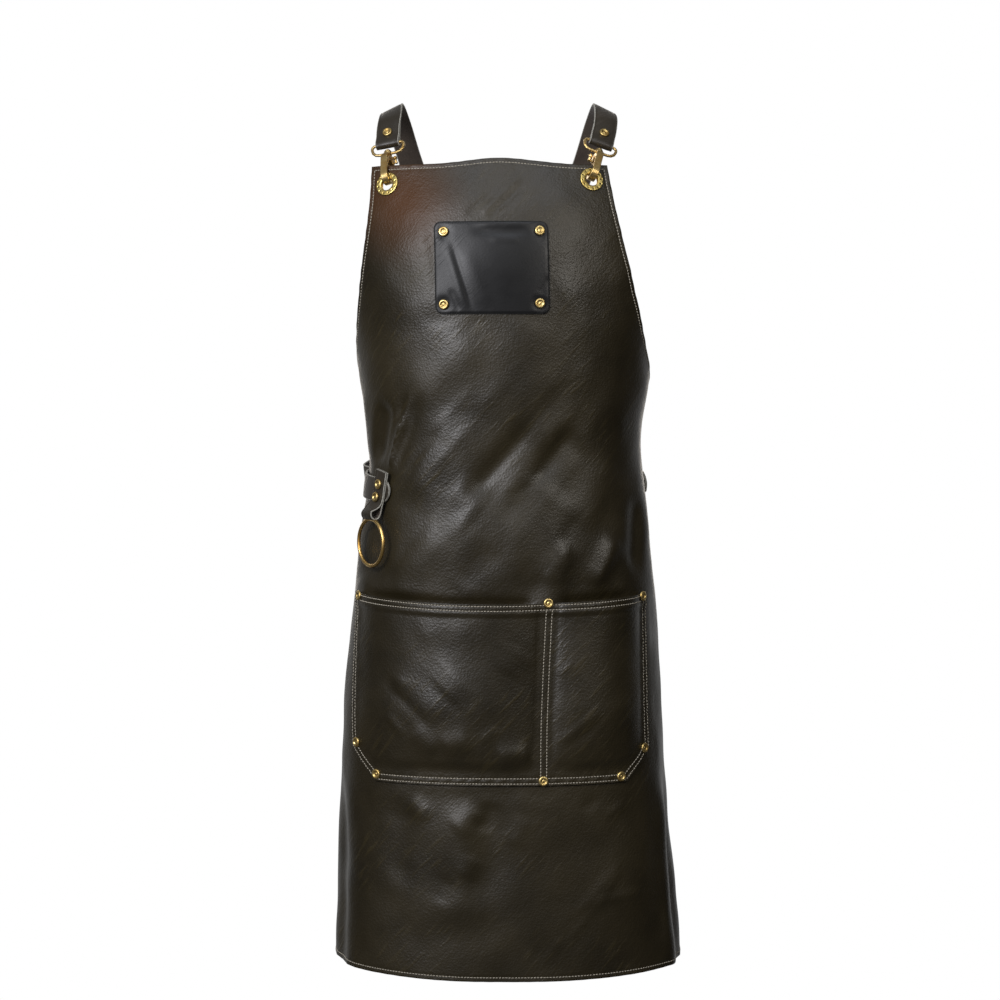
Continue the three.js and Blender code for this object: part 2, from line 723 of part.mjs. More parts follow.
function hookSolid(gateOut) {
  const outside = SNAP.throat + SNAP.bar;
  const centre = SNAP.throatDepth;
  const shape = new THREE.Shape();
  shape.moveTo(centre + outside, SNAP.throatHeight);
  shape.lineTo(centre + outside, SNAP.shoulder);
  shape.quadraticCurveTo(centre + outside, SNAP.top, centre + SNAP.topHalf, SNAP.top);
  shape.lineTo(centre - SNAP.topHalf, SNAP.top);
  shape.quadraticCurveTo(centre - outside, SNAP.top, centre - outside, SNAP.hinge);
  shape.lineTo(centre - outside + 0.8, SNAP.hinge - GATE.knuckle - 0.6);
  shape.lineTo(centre - SNAP.throat + 1, SNAP.hinge - GATE.knuckle - 0.6);
  shape.quadraticCurveTo(centre, SNAP.hinge + 2, centre + SNAP.throat, SNAP.hinge - 6);
  shape.lineTo(centre + SNAP.throat, SNAP.throatHeight);
  shape.absarc(centre, SNAP.throatHeight, SNAP.throat, 0, Math.PI, true);
  shape.lineTo(centre - SNAP.throat, SNAP.noseTop);
  shape.lineTo(centre - outside + 0.8, SNAP.noseTop);
  shape.lineTo(centre - outside, SNAP.noseTop - 1.2);
  shape.lineTo(centre - outside, SNAP.throatHeight);
  shape.absarc(centre, SNAP.throatHeight, outside, Math.PI, 2 * Math.PI, false);
  const half = SNAP.width / 2;
  let solid = solidOf(plateAcross(shape, -half, half));
  const slotHalf = GATE.half + GATE.slack;
  const slot = new THREE.BoxGeometry(2 * slotHalf, 8, 12);
  const slotOut = gateOut - 4 + GATE.knuckle + GATE.slack + 0.2;
  slot.translate(0, slotOut, SNAP.hinge - 6 + GATE.knuckle + GATE.slack);
  solid = solid.subtract(solidOf(slot));
  solid = solid.subtract(solidOf(rodAcross(GATE.pin + GATE.slack, -half - 1, half + 1, gateOut, SNAP.hinge)));
  const stemTop = SNAP.top + LOOP.bossHeight + 2 * GAP;
  const stem = new THREE.LatheGeometry([
    new THREE.Vector2(0, SNAP.top - 2),
    new THREE.Vector2(SNAP.stem, SNAP.top - 2),
    new THREE.Vector2(SNAP.stem, stemTop),
    new THREE.Vector2(SNAP.head, stemTop),
    new THREE.Vector2(SNAP.head, stemTop + 1),
    new THREE.Vector2(SNAP.head * 0.65, stemTop + 2.4),
    new THREE.Vector2(0, stemTop + 2.9),
  ], 16).rotateX(Math.PI / 2);
  return solid.add(solidOf(stem.translate(0, centre, 0)));
}

function gateSolid(gateOut, thumbSide) {
  const shape = new THREE.Shape();
  const front = gateOut + GATE.bar / 2;
  const back = gateOut - GATE.bar / 2;
  shape.moveTo(back, SNAP.noseTop + GAP);
  shape.lineTo(front, SNAP.noseTop + GAP);
  shape.lineTo(front, SNAP.hinge);
  shape.lineTo(back, SNAP.hinge);
  const pinFrom = thumbSide > 0 ? -SNAP.width / 2 : -GATE.pinReach;
  const pinTo = thumbSide > 0 ? GATE.pinReach : SNAP.width / 2;
  const thumbFrom = thumbSide > 0 ? GATE.pinReach - 2.4 : -GATE.pinReach;
  const thumb = new THREE.SphereGeometry(GATE.thumb, 10, 6);
  const thumbUp = SNAP.hinge + 4;
  thumb.translate(thumbFrom + 1.2, gateOut + 3, thumbUp);
  const lever = new THREE.Shape();
  lever.moveTo(gateOut - 1.4, SNAP.hinge - 1.2);
  lever.lineTo(gateOut + 1.4, SNAP.hinge - 1.2);
  lever.lineTo(gateOut + 4, thumbUp);
  lever.lineTo(gateOut + 2, thumbUp + 0.8);
  return solidOf(plateAcross(shape, -GATE.half, GATE.half))
    .add(solidOf(rodAcross(GATE.knuckle, -GATE.half, GATE.half, gateOut, SNAP.hinge)))
    .add(solidOf(rodAcross(GATE.pin, pinFrom, pinTo, gateOut, SNAP.hinge)))
    .add(solidOf(plateAcross(lever, thumbFrom + 0.3, thumbFrom + 2.1)))
    .add(solidOf(thumb));
}

// Rounded strap loop with a boss for the swivel
function loopSolid() {
  const { half, height, topCorner, footCorner, wire, boss, bossHeight } = LOOP;
  const path = [];
  const corners = [
    { side: 1, z: footCorner, radius: footCorner, start: -90 },
    { side: 1, z: height - topCorner, radius: topCorner, start: 0 },
    { side: -1, z: height - topCorner, radius: topCorner, start: 90 },
    { side: -1, z: footCorner, radius: footCorner, start: 180 },
  ];
  for (const { side, z, radius, start } of corners) {
    for (let turn = 0; turn <= 90; turn += 30) {
      const angle = THREE.MathUtils.degToRad(start + turn);
      path.push(vector(side * (half - radius) + radius * Math.cos(angle), 0, z + radius * Math.sin(angle)));
    }
  }
  const rings = path.map((point, k) => {
    const before = path[(k + path.length - 1) % path.length];
    const after = path[(k + 1) % path.length];
    const along = after.clone().sub(before).normalize();
    const out = vector(0, 1, 0);
    const aside = along.clone().cross(out);
    const ring = [];
    for (let turn = 0; turn < 360; turn += 45) {
      const angle = THREE.MathUtils.degToRad(turn + 22.5);
      ring.push(point.clone()
        .addScaledVector(out, wire * Math.cos(angle))
        .addScaledVector(aside, wire * Math.sin(angle)));
    }
    return ring;
  });
  const sleeve = new THREE.CylinderGeometry(boss, boss, bossHeight, 16).rotateX(Math.PI / 2);
  const boreRadius = SNAP.stem + GAP;
  const bore = new THREE.CylinderGeometry(boreRadius, boreRadius, bossHeight + 4, 16).rotateX(Math.PI / 2);
  return solidOf(loft(rings, true)).add(solidOf(sleeve)).subtract(solidOf(bore));
}

// The loop turns on its swivel so that its bar follows the shoulder's slope, and the strap leaves
// the bar square to it
function strapStart(side) {
  const eyelet = EYELETS.find((row) => row.side === side);
  const frame = hookFrame(side, eyelet.across, eyelet.down);
  const mirror = side === 'left' ? -1 : 1;
  const first = STRAP_ROUTE[0];
  const axisFoot = vector(0, SNAP.throatDepth, 0).applyMatrix4(frame);
  const bar = vector(0, SNAP.throatDepth, LOOP_BAR).applyMatrix4(frame);
  const up = bar.clone().sub(axisFoot).normalize();
  const slope = vector(1, -SNAP_LEANS[side].barRise * BAR_SWEEP, SNAP_LEANS[side].barRise);
  const right = slope.addScaledVector(up, -slope.dot(up)).normalize();
  const along = vector(first.x * mirror, first.y, first.z).sub(bar);
  along.addScaledVector(right, -along.dot(right)).normalize();
  const out = right.clone().cross(along).normalize();
  return { bar, up, along, right, out };
}

function snapHooks() {
  const gateOut = SNAP.throatDepth - SNAP.throat - SNAP.bar / 2;
  for (const { side, across, down } of EYELETS) {
    const frame = hookFrame(side, across, down);
    const thumbSide = side === 'left' ? -1 : 1;
    const hook = geometryOf(hookSolid(gateOut)).applyMatrix4(frame);
    const gate = geometryOf(gateSolid(gateOut, thumbSide)).applyMatrix4(frame);
    const { bar, up, right } = strapStart(side);
    const base = bar.clone().addScaledVector(up, -LOOP.height);
    const loop = placed(geometryOf(loopSolid()), base, up, right);
    add(`snap_hook_${side}`, hook, BRASS);
    add(`snap_gate_${side}`, gate, BRASS);
    add(`snap_loop_${side}`, loop, BRASS);
  }
}

// Straps

// Control stations of a strap: flap, fold round the bar, shoulder, back, hip
function strapStations(side) {
  const mirror = side === 'left' ? -1 : 1;
  const hip = side === 'left' ? 'right' : 'left';
  const { bar, along, out } = strapStart(side);
  const round = LOOP.wire + GAP + STRAP_LEATHER / 2;
  const pinch = STRAP_LEATHER / 2 + GAP / 2;
  const at = (up, away) => bar.clone().addScaledVector(along, up).addScaledVector(out, away);
  const stations = [
    { point: at(STRAP_FLAP, -pinch), normal: out.clone().negate() },
    { point: at(STRAP_RIVET_HEIGHT + 6, -pinch), normal: out.clone().negate() },
    { point: at(STRAP_RIVET_HEIGHT - 4, -pinch - 0.1), normal: out.clone().negate() },
    { point: at(1, -round), normal: out.clone().negate() },
    { point: at(-round * 0.75, -round * 0.75), normal: along.clone().negate().sub(out) },
    { point: at(-round, 0), normal: along.clone().negate() },
    { point: at(-round * 0.75, round * 0.75), normal: along.clone().negate().add(out) },
    { point: at(1, round), normal: out.clone() },
    { point: at(STRAP_RIVET_HEIGHT - 4, pinch + 0.1), normal: out.clone() },
    { point: at(STRAP_RIVET_HEIGHT + 6, pinch), normal: out.clone() },
  ];
  STRAP_ROUTE.forEach((row, k) => {
    const isCrossing = side === 'left' && k >= STRAP_CROSS.from && k <= STRAP_CROSS.to;
    const point = vector(row.x * mirror, row.y + (isCrossing ? STRAP_CROSS_LIFT : 0), row.z);
    stations.push({ point, normal: vector(row.nx * mirror, row.ny, row.nz) });
  });
  const { from, to, steps } = HIP_ENDS[hip];
  for (let k = 0; k <= steps; k += 1) {
    const across = from.across + (to.across - from.across) * k / steps;
    const down = from.down + (to.down - from.down) * k / steps;
    const place = placeOn(across, down, HIP_GAP + STRAP_LEATHER / 2);
    stations.push({ point: place.point, normal: place.normal });
  }
  return stations;
}

// Even steps between control stations, and a rounded tip at the end
function strapBand(stations) {
  const facings = stations.map((s) => s.normal.clone().normalize());
  const points = new THREE.CatmullRomCurve3(stations.map((s) => s.point), false, 'centripetal');
  const normals = new THREE.CatmullRomCurve3(facings, false, 'centripetal');
  const count = (stations.length - 1) * STRAP_STEPS;
  const steps = [];
  for (let k = 0; k <= count; k += 1) {
    const normal = normals.getPoint(k / count).normalize();
    steps.push({ point: points.getPoint(k / count), normal, width: STRAP_WIDTH });
  }
  const last = steps[steps.length - 1];
  const run = last.point.clone().sub(steps[steps.length - 2].point).normalize();
  for (const turn of [30, 55, 75]) {
    const angle = THREE.MathUtils.degToRad(turn);
    const point = last.point.clone().addScaledVector(run, STRAP_WIDTH / 2 * Math.sin(angle));
    point.addScaledVector(last.normal, -0.12 * Math.sin(angle));
    steps.push({ point, normal: last.normal, width: STRAP_WIDTH * Math.cos(angle) });
  }
  return band(steps, STRAP_LEATHER);
}

function straps() {
  for (const side of ['left', 'right']) {
    const hip = side === 'left' ? 'right' : 'left';
    const { bar, along, out, right } = strapStart(side);
    const front = bar.clone().addScaledVector(along, STRAP_RIVET_HEIGHT);
    const face = front.clone().addScaledVector(out, STRAP_LEATHER + GAP);
    const holes = HIP_RIVETS[hip].map(({ across, down }) => punch(placeOn(across, down, 0), RIVET_HOLE, 8));
    holes.push(punch({ point: front, normal: out, upward: right }, RIVET_HOLE, 8));
    add(`strap_${side}`, pierce(strapBand(strapStations(side)), holes), STRAP_BLACK);
    const rivet = placed(rivetGeometry(2 * STRAP_LEATHER + 2 * GAP), face, out, right);
    add(`strap_rivet_${side}`, rivet, BRASS);
  }
}

// Towel ring and its folded tab

function ringFrame() {
  const place = placeOn(RING_PLACE.across, RING_PLACE.down, RING_PLACE.standOff);
  const out = vector(place.normal.x, place.normal.y, 0).normalize();
  const right = out.clone().cross(vector(0, 0, 1));
  return { top: place.point, out, right };
}

function towelRing() {
  const { top, out, right } = ringFrame();
  const ring = new THREE.TorusGeometry(RING.radius, RING.wire, RING.sides, RING.segments);
  const centre = top.clone().addScaledVector(vector(0, 0, 1), -RING.radius);
  add('towel_ring', placed(ring, centre, out, right), BRASS);
}

function ringTab() {
  const { top, out } = ringFrame();
  const round = RING.wire + TAB_FOLD_SPACE + TAB_LEATHER / 2;
  const strapFace = HIP_GAP + STRAP_LEATHER;
  const backLayer = strapFace + SEAM_GAP + TAB_LEATHER / 2;
  const frontLayer = backLayer + TAB_LEATHER + GAP;
  const down = vector(0, 0, -1);
  const fold = (turn) => {
    const angle = THREE.MathUtils.degToRad(turn);
    const normal = out.clone().multiplyScalar(Math.cos(angle)).addScaledVector(down, Math.sin(angle));
    return { point: top.clone().addScaledVector(normal, round), normal };
  };
  const layer = (t, offset, facing) => {
    const across = TAB_TOP.across + (HIP_RIVETS.left[1].across - TAB_TOP.across) * smoothStep(t);
    const fall = TAB_TOP.down + (HIP_RIVETS.left[1].down + 5 - TAB_TOP.down) * t;
    const place = placeOn(across, fall, offset);
    return { point: place.point, normal: place.normal.clone().multiplyScalar(facing) };
  };
  const stations = [
    layer(0, frontLayer, 1),
    layer(0.5, frontLayer, 1),
    layer(1, frontLayer, 1),
    fold(-45),
    fold(0),
    fold(45),
    fold(90),
    fold(135),
    fold(180),
    layer(1, backLayer, -1),
    layer(0.5, backLayer, -1),
    layer(0, backLayer, -1),
  ];
  const points = new THREE.CatmullRomCurve3(stations.map((s) => s.point), false, 'centripetal');
  const count = (stations.length - 1) * 2;
  const steps = [];
  for (let k = 0; k <= count; k += 1) {
    const here = stations[Math.floor(k / 2)].normal;
    const next = stations[Math.ceil(k / 2)].normal;
    const normal = here.clone().add(next).normalize();
    steps.push({ point: points.getPoint(k / count), normal, width: TAB_WIDTH });
  }
  const rivetPlaces = HIP_RIVETS.left.map((rivet) => placeOn(rivet.across, rivet.down, 0));
  const holes = rivetPlaces.map((place) => punch(place, RIVET_HOLE, 8));
  add('ring_tab', pierce(band(steps, TAB_LEATHER), holes), STRAP_BLACK);
}

// Assembly

apronBody();
pocketPanel();
chestPatch();
PATCH_RIVETS.forEach(({ across, down }, k) => {
  const face = SEAM_GAP + PATCH_LEATHER + PATCH_STAND_OFF * 0.12;
  addRivet(`patch_rivet_${k + 1}`, across, down, face, face + APRON_LEATHER);
});
POCKET_RIVETS.forEach(({ across, down }, k) => {
  const face = SEAM_GAP + POCKET_LEATHER + (k < 3 ? HEM_LEATHER : 0);
  addRivet(`pocket_rivet_${k + 1}`, across, down, face, face + APRON_LEATHER);
});
eyelets();
snapHooks();
straps();
ringTab();
towelRing();
HIP_RIVETS.left.forEach(({ across, down }, k) => {
  const face = HIP_GAP + STRAP_LEATHER + SEAM_GAP + 2 * TAB_LEATHER + 2.4 * GAP;
  addRivet(`hip_rivet_left_${k + 1}`, across, down, face, face + APRON_LEATHER);
});
HIP_RIVETS.right.forEach(({ across, down }, k) => {
  const face = HIP_GAP + GAP + STRAP_LEATHER;
  addRivet(`hip_rivet_right_${k + 1}`, across, down, face, face + APRON_LEATHER);
});

export default apron;
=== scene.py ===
import math

import bpy
import numpy as np
from mathutils import Matrix


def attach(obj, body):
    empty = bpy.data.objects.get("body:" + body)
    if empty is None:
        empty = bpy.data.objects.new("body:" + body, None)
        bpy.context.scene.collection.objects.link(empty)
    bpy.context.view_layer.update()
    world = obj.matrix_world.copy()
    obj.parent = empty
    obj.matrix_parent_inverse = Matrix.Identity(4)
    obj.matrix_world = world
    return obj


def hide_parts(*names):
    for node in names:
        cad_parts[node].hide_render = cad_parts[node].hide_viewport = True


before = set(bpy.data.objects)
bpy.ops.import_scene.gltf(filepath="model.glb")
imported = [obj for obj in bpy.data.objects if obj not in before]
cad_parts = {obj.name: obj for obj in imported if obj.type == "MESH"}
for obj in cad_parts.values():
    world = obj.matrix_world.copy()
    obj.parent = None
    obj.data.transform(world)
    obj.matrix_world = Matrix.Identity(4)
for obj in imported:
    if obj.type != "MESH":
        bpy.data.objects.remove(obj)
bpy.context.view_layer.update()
bpy.ops.object.select_all(action="DESELECT")
scene = bpy.context.scene
MM = 0.001

# Camera: a 90 mm lens at belt height, 2.7 m in front of the apron, tilted down a little
camera_data = bpy.data.cameras.new("camera")
camera_data.lens = 90.36
camera_data.sensor_width = 36
camera_data.shift_x = 0.002
camera_data.shift_y = -0.039
camera = bpy.data.objects.new("camera", camera_data)
camera.location = (0, -2.72, -0.303)
camera.rotation_euler = (math.radians(90 - 1.604), 0, 0)
scene.collection.objects.link(camera)
scene.camera = camera

# Leather thicknesses and clearances, in millimetres
APRON_LEATHER = 1.6
HEM_LEATHER = 1.2
POCKET_LEATHER = 1.5
PATCH_LEATHER = 1.5
STRAP_LEATHER = 2.4
TAB_LEATHER = 1.6
GAP = 0.35
SEAM_GAP = 0.6
BACK_GAP = 0.95
HIP_GAP = 1.5

# The flat cut: half width at a distance down from the shoulder rest
BIB_TOP = 66
BIB_RISE = 6.5
BIB_RISE_CENTRE = 14
BIB_RISE_SPREAD = 48
HEM = 919
HEM_END_RISE = 6
HEM_RISE_REACH = 240
HEM_TURN = 6.5
CUT = np.array([
    (60, 128), (102, 134), (131, 141), (161, 149), (188, 157), (212, 166), (240, 179), (262, 194),
    (280, 214), (300, 241), (322, 258), (352, 264), (600, 271), (919, 280),
], float)

# Sections of the worn form: down, half width, half depth, axis, slide of the cut's centre line
FLATNESS = 2.2
FORM = np.array([
    (60, 166, 89, 3, -15), (123, 172, 111, 4, -12), (193, 169, 118, 6, -12), (283, 157, 117, 7, -12),
    (358, 148, 112, 7, -12), (423, 153, 111, 7, -12), (517, 162, 115, 7, -10), (641, 172, 119, 5, -6),
    (707, 175, 120, 6, -4), (816, 181, 121, 9, -2), (919, 188, 122, 12, 0),
], float)

# Folds in the flat cut: across and down at both ends, width, height. Each fades out over a share of its
# length at both ends.
FOLD_FADE = 0.28
FOLDS = [
    (-127, 390, -98, 322, 8, 3.8), (-152, 384, -122, 310, 12, -7), (-186, 380, -172, 300, 16, 1.5),
    (-262, 396, -96, 416, 40, -3), (-92, 430, -38, 319, 24, 3), (-146, 428, -152, 512, 26, -5),
    (-80, 478, 88, 284, 10, -1.2), (-28, 420, 44, 334, 11, -2.8), (-15, 432, 57, 346, 30, -2.8),
    (-10, 444, 94, 312, 8, 1), (0, 452, 112, 306, 9, -1), (42, 404, 88, 340, 10, -2.8),
    (55, 416, 101, 352, 26, -2.3), (84, 446, 138, 374, 16, 2), (-60, 440, 50, 440, 45, 3),
    (-100, 506, -36, 426, 17, 1.2), (-128, 512, -84, 454, 8, -2.5), (-40, 509, 4, 464, 16, -3.6),
    (50, 509, 82, 460, 9, 3), (104, 511, 138, 452, 12, 4.5), (177, 410, 159, 500, 13, -5),
    (212, 430, 206, 540, 22, 1), (-4, 120, 46, 84, 7, -0.8), (-104, 130, -70, 240, 34, 2.5),
    (-98, 322, -12, 242, 22, 2.5), (-39, 724, -51, 880, 24, 4), (-10, 724, -24, 850, 20, -3.5),
    (-104, 724, -116, 830, 18, -3), (69, 855, 131, 795, 6, 1), (-214, 700, -212, 960, 16, -5),
    (-252, 660, -250, 960, 22, 2.5), (196, 700, 194, 960, 14, 4), (217, 700, 214, 960, 13, -5),
]

# Finer creases, drawn as the folds are. The last two ease folds that would lie too deep.
APRON_CREASES = [
    (-16, 440, 90, 306, 4, 0.5), (-126, 505, -92, 462, 4, -0.6), (-44, 470, 10, 404, 3, -0.4),
    (30, 508, 64, 468, 3, 0.5), (62, 510, 82, 476, 4, 0.8), (106, 511, 130, 470, 5, 0.8),
    (-6, 127.5, 42, 81.5, 2.3, -1.9), (-26, 121, 8, 96, 2.4, -1.2), (-8, 730, -24, 764, 8, -1.8),
    (-98, 730, -76, 750, 10, 2.2), (-50, 764, -22, 736, 11, 2.2), (56, 886, 134, 800, 3, 0.8),
    (-12, 123, 36, 77, 4.5, 1.1), (-44, 812, -30, 786, 10, 1.6), (28, 906, 60, 872, 3, 0.6),
    (110, 750, 138, 736, 4, 1.0), (84, 742, 106, 728, 4, -0.9), (-70, 840, -56, 808, 10, -1.2),
    (10, 780, 26, 744, 9, 1.2), (84, 839, 158, 830, 4, 0.8), (189, 829, 184, 904, 4, 0.8),
    (-40, 425, 7, 394, 3, 0.5), (7, 417, 55, 394, 3, -0.5), (-78, 438, -43, 404, 3, 0.5),
    (-70, 350, -20, 300, 3, 0.5), (-125, 398, -86, 300, 3, 2.4), (-133, 398, -94, 302, 4.5, -2.4),
    (-114, 396, -74, 302, 6, -1.2), (-100, 394, -52, 338, 4, -1.0), (-104, 428, -10, 326, 7, 1.0),
    (-62, 472, 58, 332, 6, 0.6), (-96, 472, -22, 372, 6, -0.6), (12, 472, 108, 352, 6, 0.6),
    (-118, 452, -60, 352, 6, 0.6), (60, 472, 128, 388, 6, -0.5), (-20, 330, 40, 262, 8, 0.5),
    (30, 350, 90, 282, 7, -0.5), (-40, 509, 4, 464, 16, 2.2), (-128, 512, -84, 454, 8, 1.5),
]
POCKET_CREASES = [
    (-126, 598, -58, 662, 6, -0.8), (-112, 592, -50, 644, 12, 1.0), (-90, 655, -62, 680, 11, 1.6),
    (-60, 674, -25, 665, 11, 2.0), (-4, 684, 36, 680, 11, 3.2), (62, 601, 83, 582, 3, 0.6),
    (-20, 668, 2, 652, 5, 0.8), (-118, 640, -96, 664, 5, 0.8), (-84, 560, -20, 548, 14, 1.0),
    (-52, 622, -30, 600, 24, 1.2), (10, 600, 30, 570, 16, 0.8), (-104, 622, -96, 600, 10, 0.7),
    (59, 671, 110, 633, 4, 0.9), (64, 679, 114, 643, 4, -0.6), (97, 660, 115, 642, 3, 0.6),
    (62, 704, 85, 690, 3, 0.6),
]
PATCH_CREASES = [
    (-44, 140, -19, 226, 3.2, -0.7), (-49, 148, -25, 226, 5.0, 0.7), (-30, 150, -4, 226, 9.0, 0.5),
    (-24, 138, 44, 139, 4.5, -0.9), (-44, 196, -34, 222, 3.0, -0.6), (-4, 146, 32, 147, 4.0, 0.5),
    (-20, 130, 48, 130, 4.5, 0.9), (48, 206, 62, 184, 5.0, -0.6), (49, 143, 62, 152, 4.0, -0.5),
    (-60, 150, -50, 145, 4.0, 0.4),
]

# Pocket: side edges and divider are given at the mouth and at the foot
POCKET_TOP = 518
POCKET_FOOT = 714
POCKET_HEIGHT = POCKET_FOOT - POCKET_TOP
POCKET_SAG = 7
POCKET_LEFT = (-178, -174)
POCKET_RIGHT = (178.5, 174.5)
POCKET_DIVIDER = (56, 45)
POCKET_CHAMFER = (36, 34)
POCKET_SEAM = 14
POCKET_DIVIDER_SEAM = 9
POCKET_STAND_OFF = 11
POCKET_LOW_SAG = 4.5
POCKET_LOW_SAG_FALL = 160
POCKET_MOUTH_HEM = 14
POCKET_ROWS = (2.2, 7.6)
DIVIDER_ROW = 3.1
SEAM_WIDTH = 0.9

# Hide behind the pocket's mouth: a narrow tuck, and a broad hollow that a fold crosses
TUCK_DEPTH = 3.5
HOLLOW_DEPTH = 4.5
HOLLOW_FOLD = 58
HOLLOW_FOLD_LEAN = 0.6

# Patch
PATCH_HALF = 59.5
PATCH_TOP = 127.5
PATCH_HEIGHT = 96
PATCH_CORNER = 8
PATCH_STAND_OFF = 1.6

# Hardware: across and down in the flat cut
PATCH_RIVETS = [(-49, 138.5), (50.5, 137.5), (-50.5, 213.5), (49, 212.5)]
POCKET_RIVETS = [
    (-166, 521.5), (55, 524), (169.5, 521), (-165, 676), (-136, 706.5), (45, 709), (131, 708), (165.5, 681),
]
HIP_RIVETS = {"left": [(-128.5, 402), (-133, 416)], "right": [(251.5, 396.5), (250.5, 409.5)]}
EYELETS = {"left": (-110, 86), "right": (110, 82)}
EYELET_HOLE = 8.4

# Straps: x, y, z and the direction that the outer face looks, on the strap's own side
STRAP_WIDTH = 26
STRAP_RIVET_HEIGHT = 14
STRAP_FLAP = 32
STRAP_CROSS_LIFT = 4.2
STRAP_ROUTE = [
    (115.5, -26, -11, 0.3, -0.6, 0.75), (114, 6, 1.2, 0.45, 0.02, 0.9), (108, 42, -13, 0.35, 0.55, 0.76),
    (96, 73, -52, 0.25, 0.83, 0.5), (76, 95, -105, 0.18, 0.95, 0.26), (48, 109, -165, 0.1, 0.98, 0.12),
    (12, 117, -228, 0.02, 1, 0.03), (-28, 118, -286, -0.08, 1, 0), (-72, 111, -339, -0.33, 0.94, 0),
    (-114, 90, -377, -0.62, 0.78, 0), (-146, 58, -396, -0.86, 0.5, 0),
]
HIP_ENDS = {"left": (-230, 400, -129, 409, 6), "right": (263, 402, 250, 403, 1)}
# Lean of each snap hook aside and back, in degrees, and rise of its loop's bar
SNAP_LEANS = {"left": (-2, 11, 0.28), "right": (21, 12, -0.25)}
BAR_SWEEP = 0.7
SWIVEL_TOP = 34.5
LOOP_BAR = SWIVEL_TOP + GAP + 2 + 13
LOOP_WIRE = 1.65

# Towel ring and tab
RING_RADIUS = 27.5
RING_WIRE = 2.1
RING_PLACE = (-138, 433, 10.5)
TAB_WIDTH = 20
TAB_TOP = (-125, 387)
TAB_FOLD_SPACE = 2.6

# Stitches
STITCH_PITCH = 3.3
STITCH_LENGTH = 2.7
STITCH_RADIUS = 0.55
STITCH_HEIGHT = 0.48
EDGE_ROW = 4.4

# Each leather piece takes its grain from its own part of the pattern
POCKET_GRAIN_SHIFT = 700
PATCH_GRAIN_SHIFT = 1400
BAND_GRAIN_SHIFT = 2100


# Smooth tables and the draped surface

def smooth_step(t):
    t = np.clip(t, 0, 1)
    return t * t * (3 - 2 * t)


def column(table, k, down):
    rows = table[:, 0]
    values = table[:, k]
    last = len(rows) - 1
    above = np.maximum(np.arange(last + 1) - 1, 0)
    below = np.minimum(np.arange(last + 1) + 1, last)
    slope = (values[below] - values[above]) / (rows[below] - rows[above])
    i = np.clip(np.searchsorted(rows, down) - 1, 0, last - 1)
    span = rows[i + 1] - rows[i]
    t = np.clip((down - rows[i]) / span, 0, 1)
    bend = t * (1 - t) ** 2 * slope[i] - t * t * (1 - t) * slope[i + 1]
    return values[i] + (values[i + 1] - values[i]) * t * t * (3 - 2 * t) + span * bend


def stroke_heights(strokes, across, down):
    total = np.zeros(np.broadcast(across, down).shape)
    for a0, d0, a1, d1, width, height in strokes:
        run_a, run_d = a1 - a0, d1 - d0
        from_a, from_d = across - a0, down - d0
        t = (from_a * run_a + from_d * run_d) / (run_a ** 2 + run_d ** 2)
        aside = (from_a * run_d - from_d * run_a) / math.hypot(run_a, run_d)
        fade = smooth_step(t / FOLD_FADE) * smooth_step((1 - t) / FOLD_FADE)
        total += height * fade * np.exp(-(aside / width) ** 2)
    return total


GRID = 2.0
ACROSS = np.arange(-304, 304.1, GRID)
DOWN = np.arange(40, 964.1, GRID)
FLAT_ACROSS, FLAT_DOWN = np.meshgrid(ACROSS, DOWN)


def worn_form():
    angle = np.radians(np.linspace(0, 180, 1801))
    sine = np.clip(np.sin(angle), 0, 1) ** (2 / FLATNESS)
    cosine = np.sign(np.cos(angle)) * np.abs(np.cos(angle)) ** (2 / FLATNESS)
    points = np.zeros((len(DOWN), len(ACROSS), 3))
    for r, down in enumerate(DOWN):
        half_width, half_depth, axis, slide = (column(FORM, k, down) for k in (1, 2, 3, 4))
        x = half_width * sine
        y = -half_depth * cosine
        walked = np.concatenate([[0], np.cumsum(np.hypot(np.diff(x), np.diff(y)))])
        target = ACROSS + slide
        points[r, :, 0] = axis + np.sign(target) * np.interp(np.abs(target), walked, x)
        points[r, :, 1] = np.interp(np.abs(target), walked, y)
        points[r, :, 2] = -down
    return points


def facing(points):
    normal = np.cross(np.gradient(points, axis=0), np.gradient(points, axis=1))
    return normal / np.linalg.norm(normal, axis=2, keepdims=True)


def sample(grid, across, down):
    u = (np.asarray(across, float) - ACROSS[0]) / GRID
    v = (np.asarray(down, float) - DOWN[0]) / GRID
    j = np.clip(np.floor(u).astype(int), 1, len(ACROSS) - 3)
    i = np.clip(np.floor(v).astype(int), 1, len(DOWN) - 3)

    def weights(f):
        return (-f / 2 + f ** 2 - f ** 3 / 2, 1 - 2.5 * f ** 2 + 1.5 * f ** 3,
                f / 2 + 2 * f ** 2 - 1.5 * f ** 3, -f ** 2 / 2 + f ** 3 / 2)

    total = 0
    for a, down_weight in enumerate(weights(v - i)):
        for b, across_weight in enumerate(weights(u - j)):
            total = total + (down_weight * across_weight)[..., None] * grid[i - 1 + a, j - 1 + b]
    return total


form = worn_form()
cad_points = form + facing(form) * stroke_heights(FOLDS, FLAT_ACROSS, FLAT_DOWN)[..., None]
cad_normals = facing(cad_points)


def unit(vectors):
    return vectors / np.linalg.norm(vectors, axis=-1, keepdims=True)


def run_along(points):
    return np.concatenate([[0], np.cumsum(np.linalg.norm(np.diff(points, axis=0), axis=1))])


def place(across, down, out=0.0, points=cad_points, normals=cad_normals):
    normal = unit(sample(normals, across, down))
    return sample(points, across, down) + normal * np.asarray(out, float)[..., None], normal


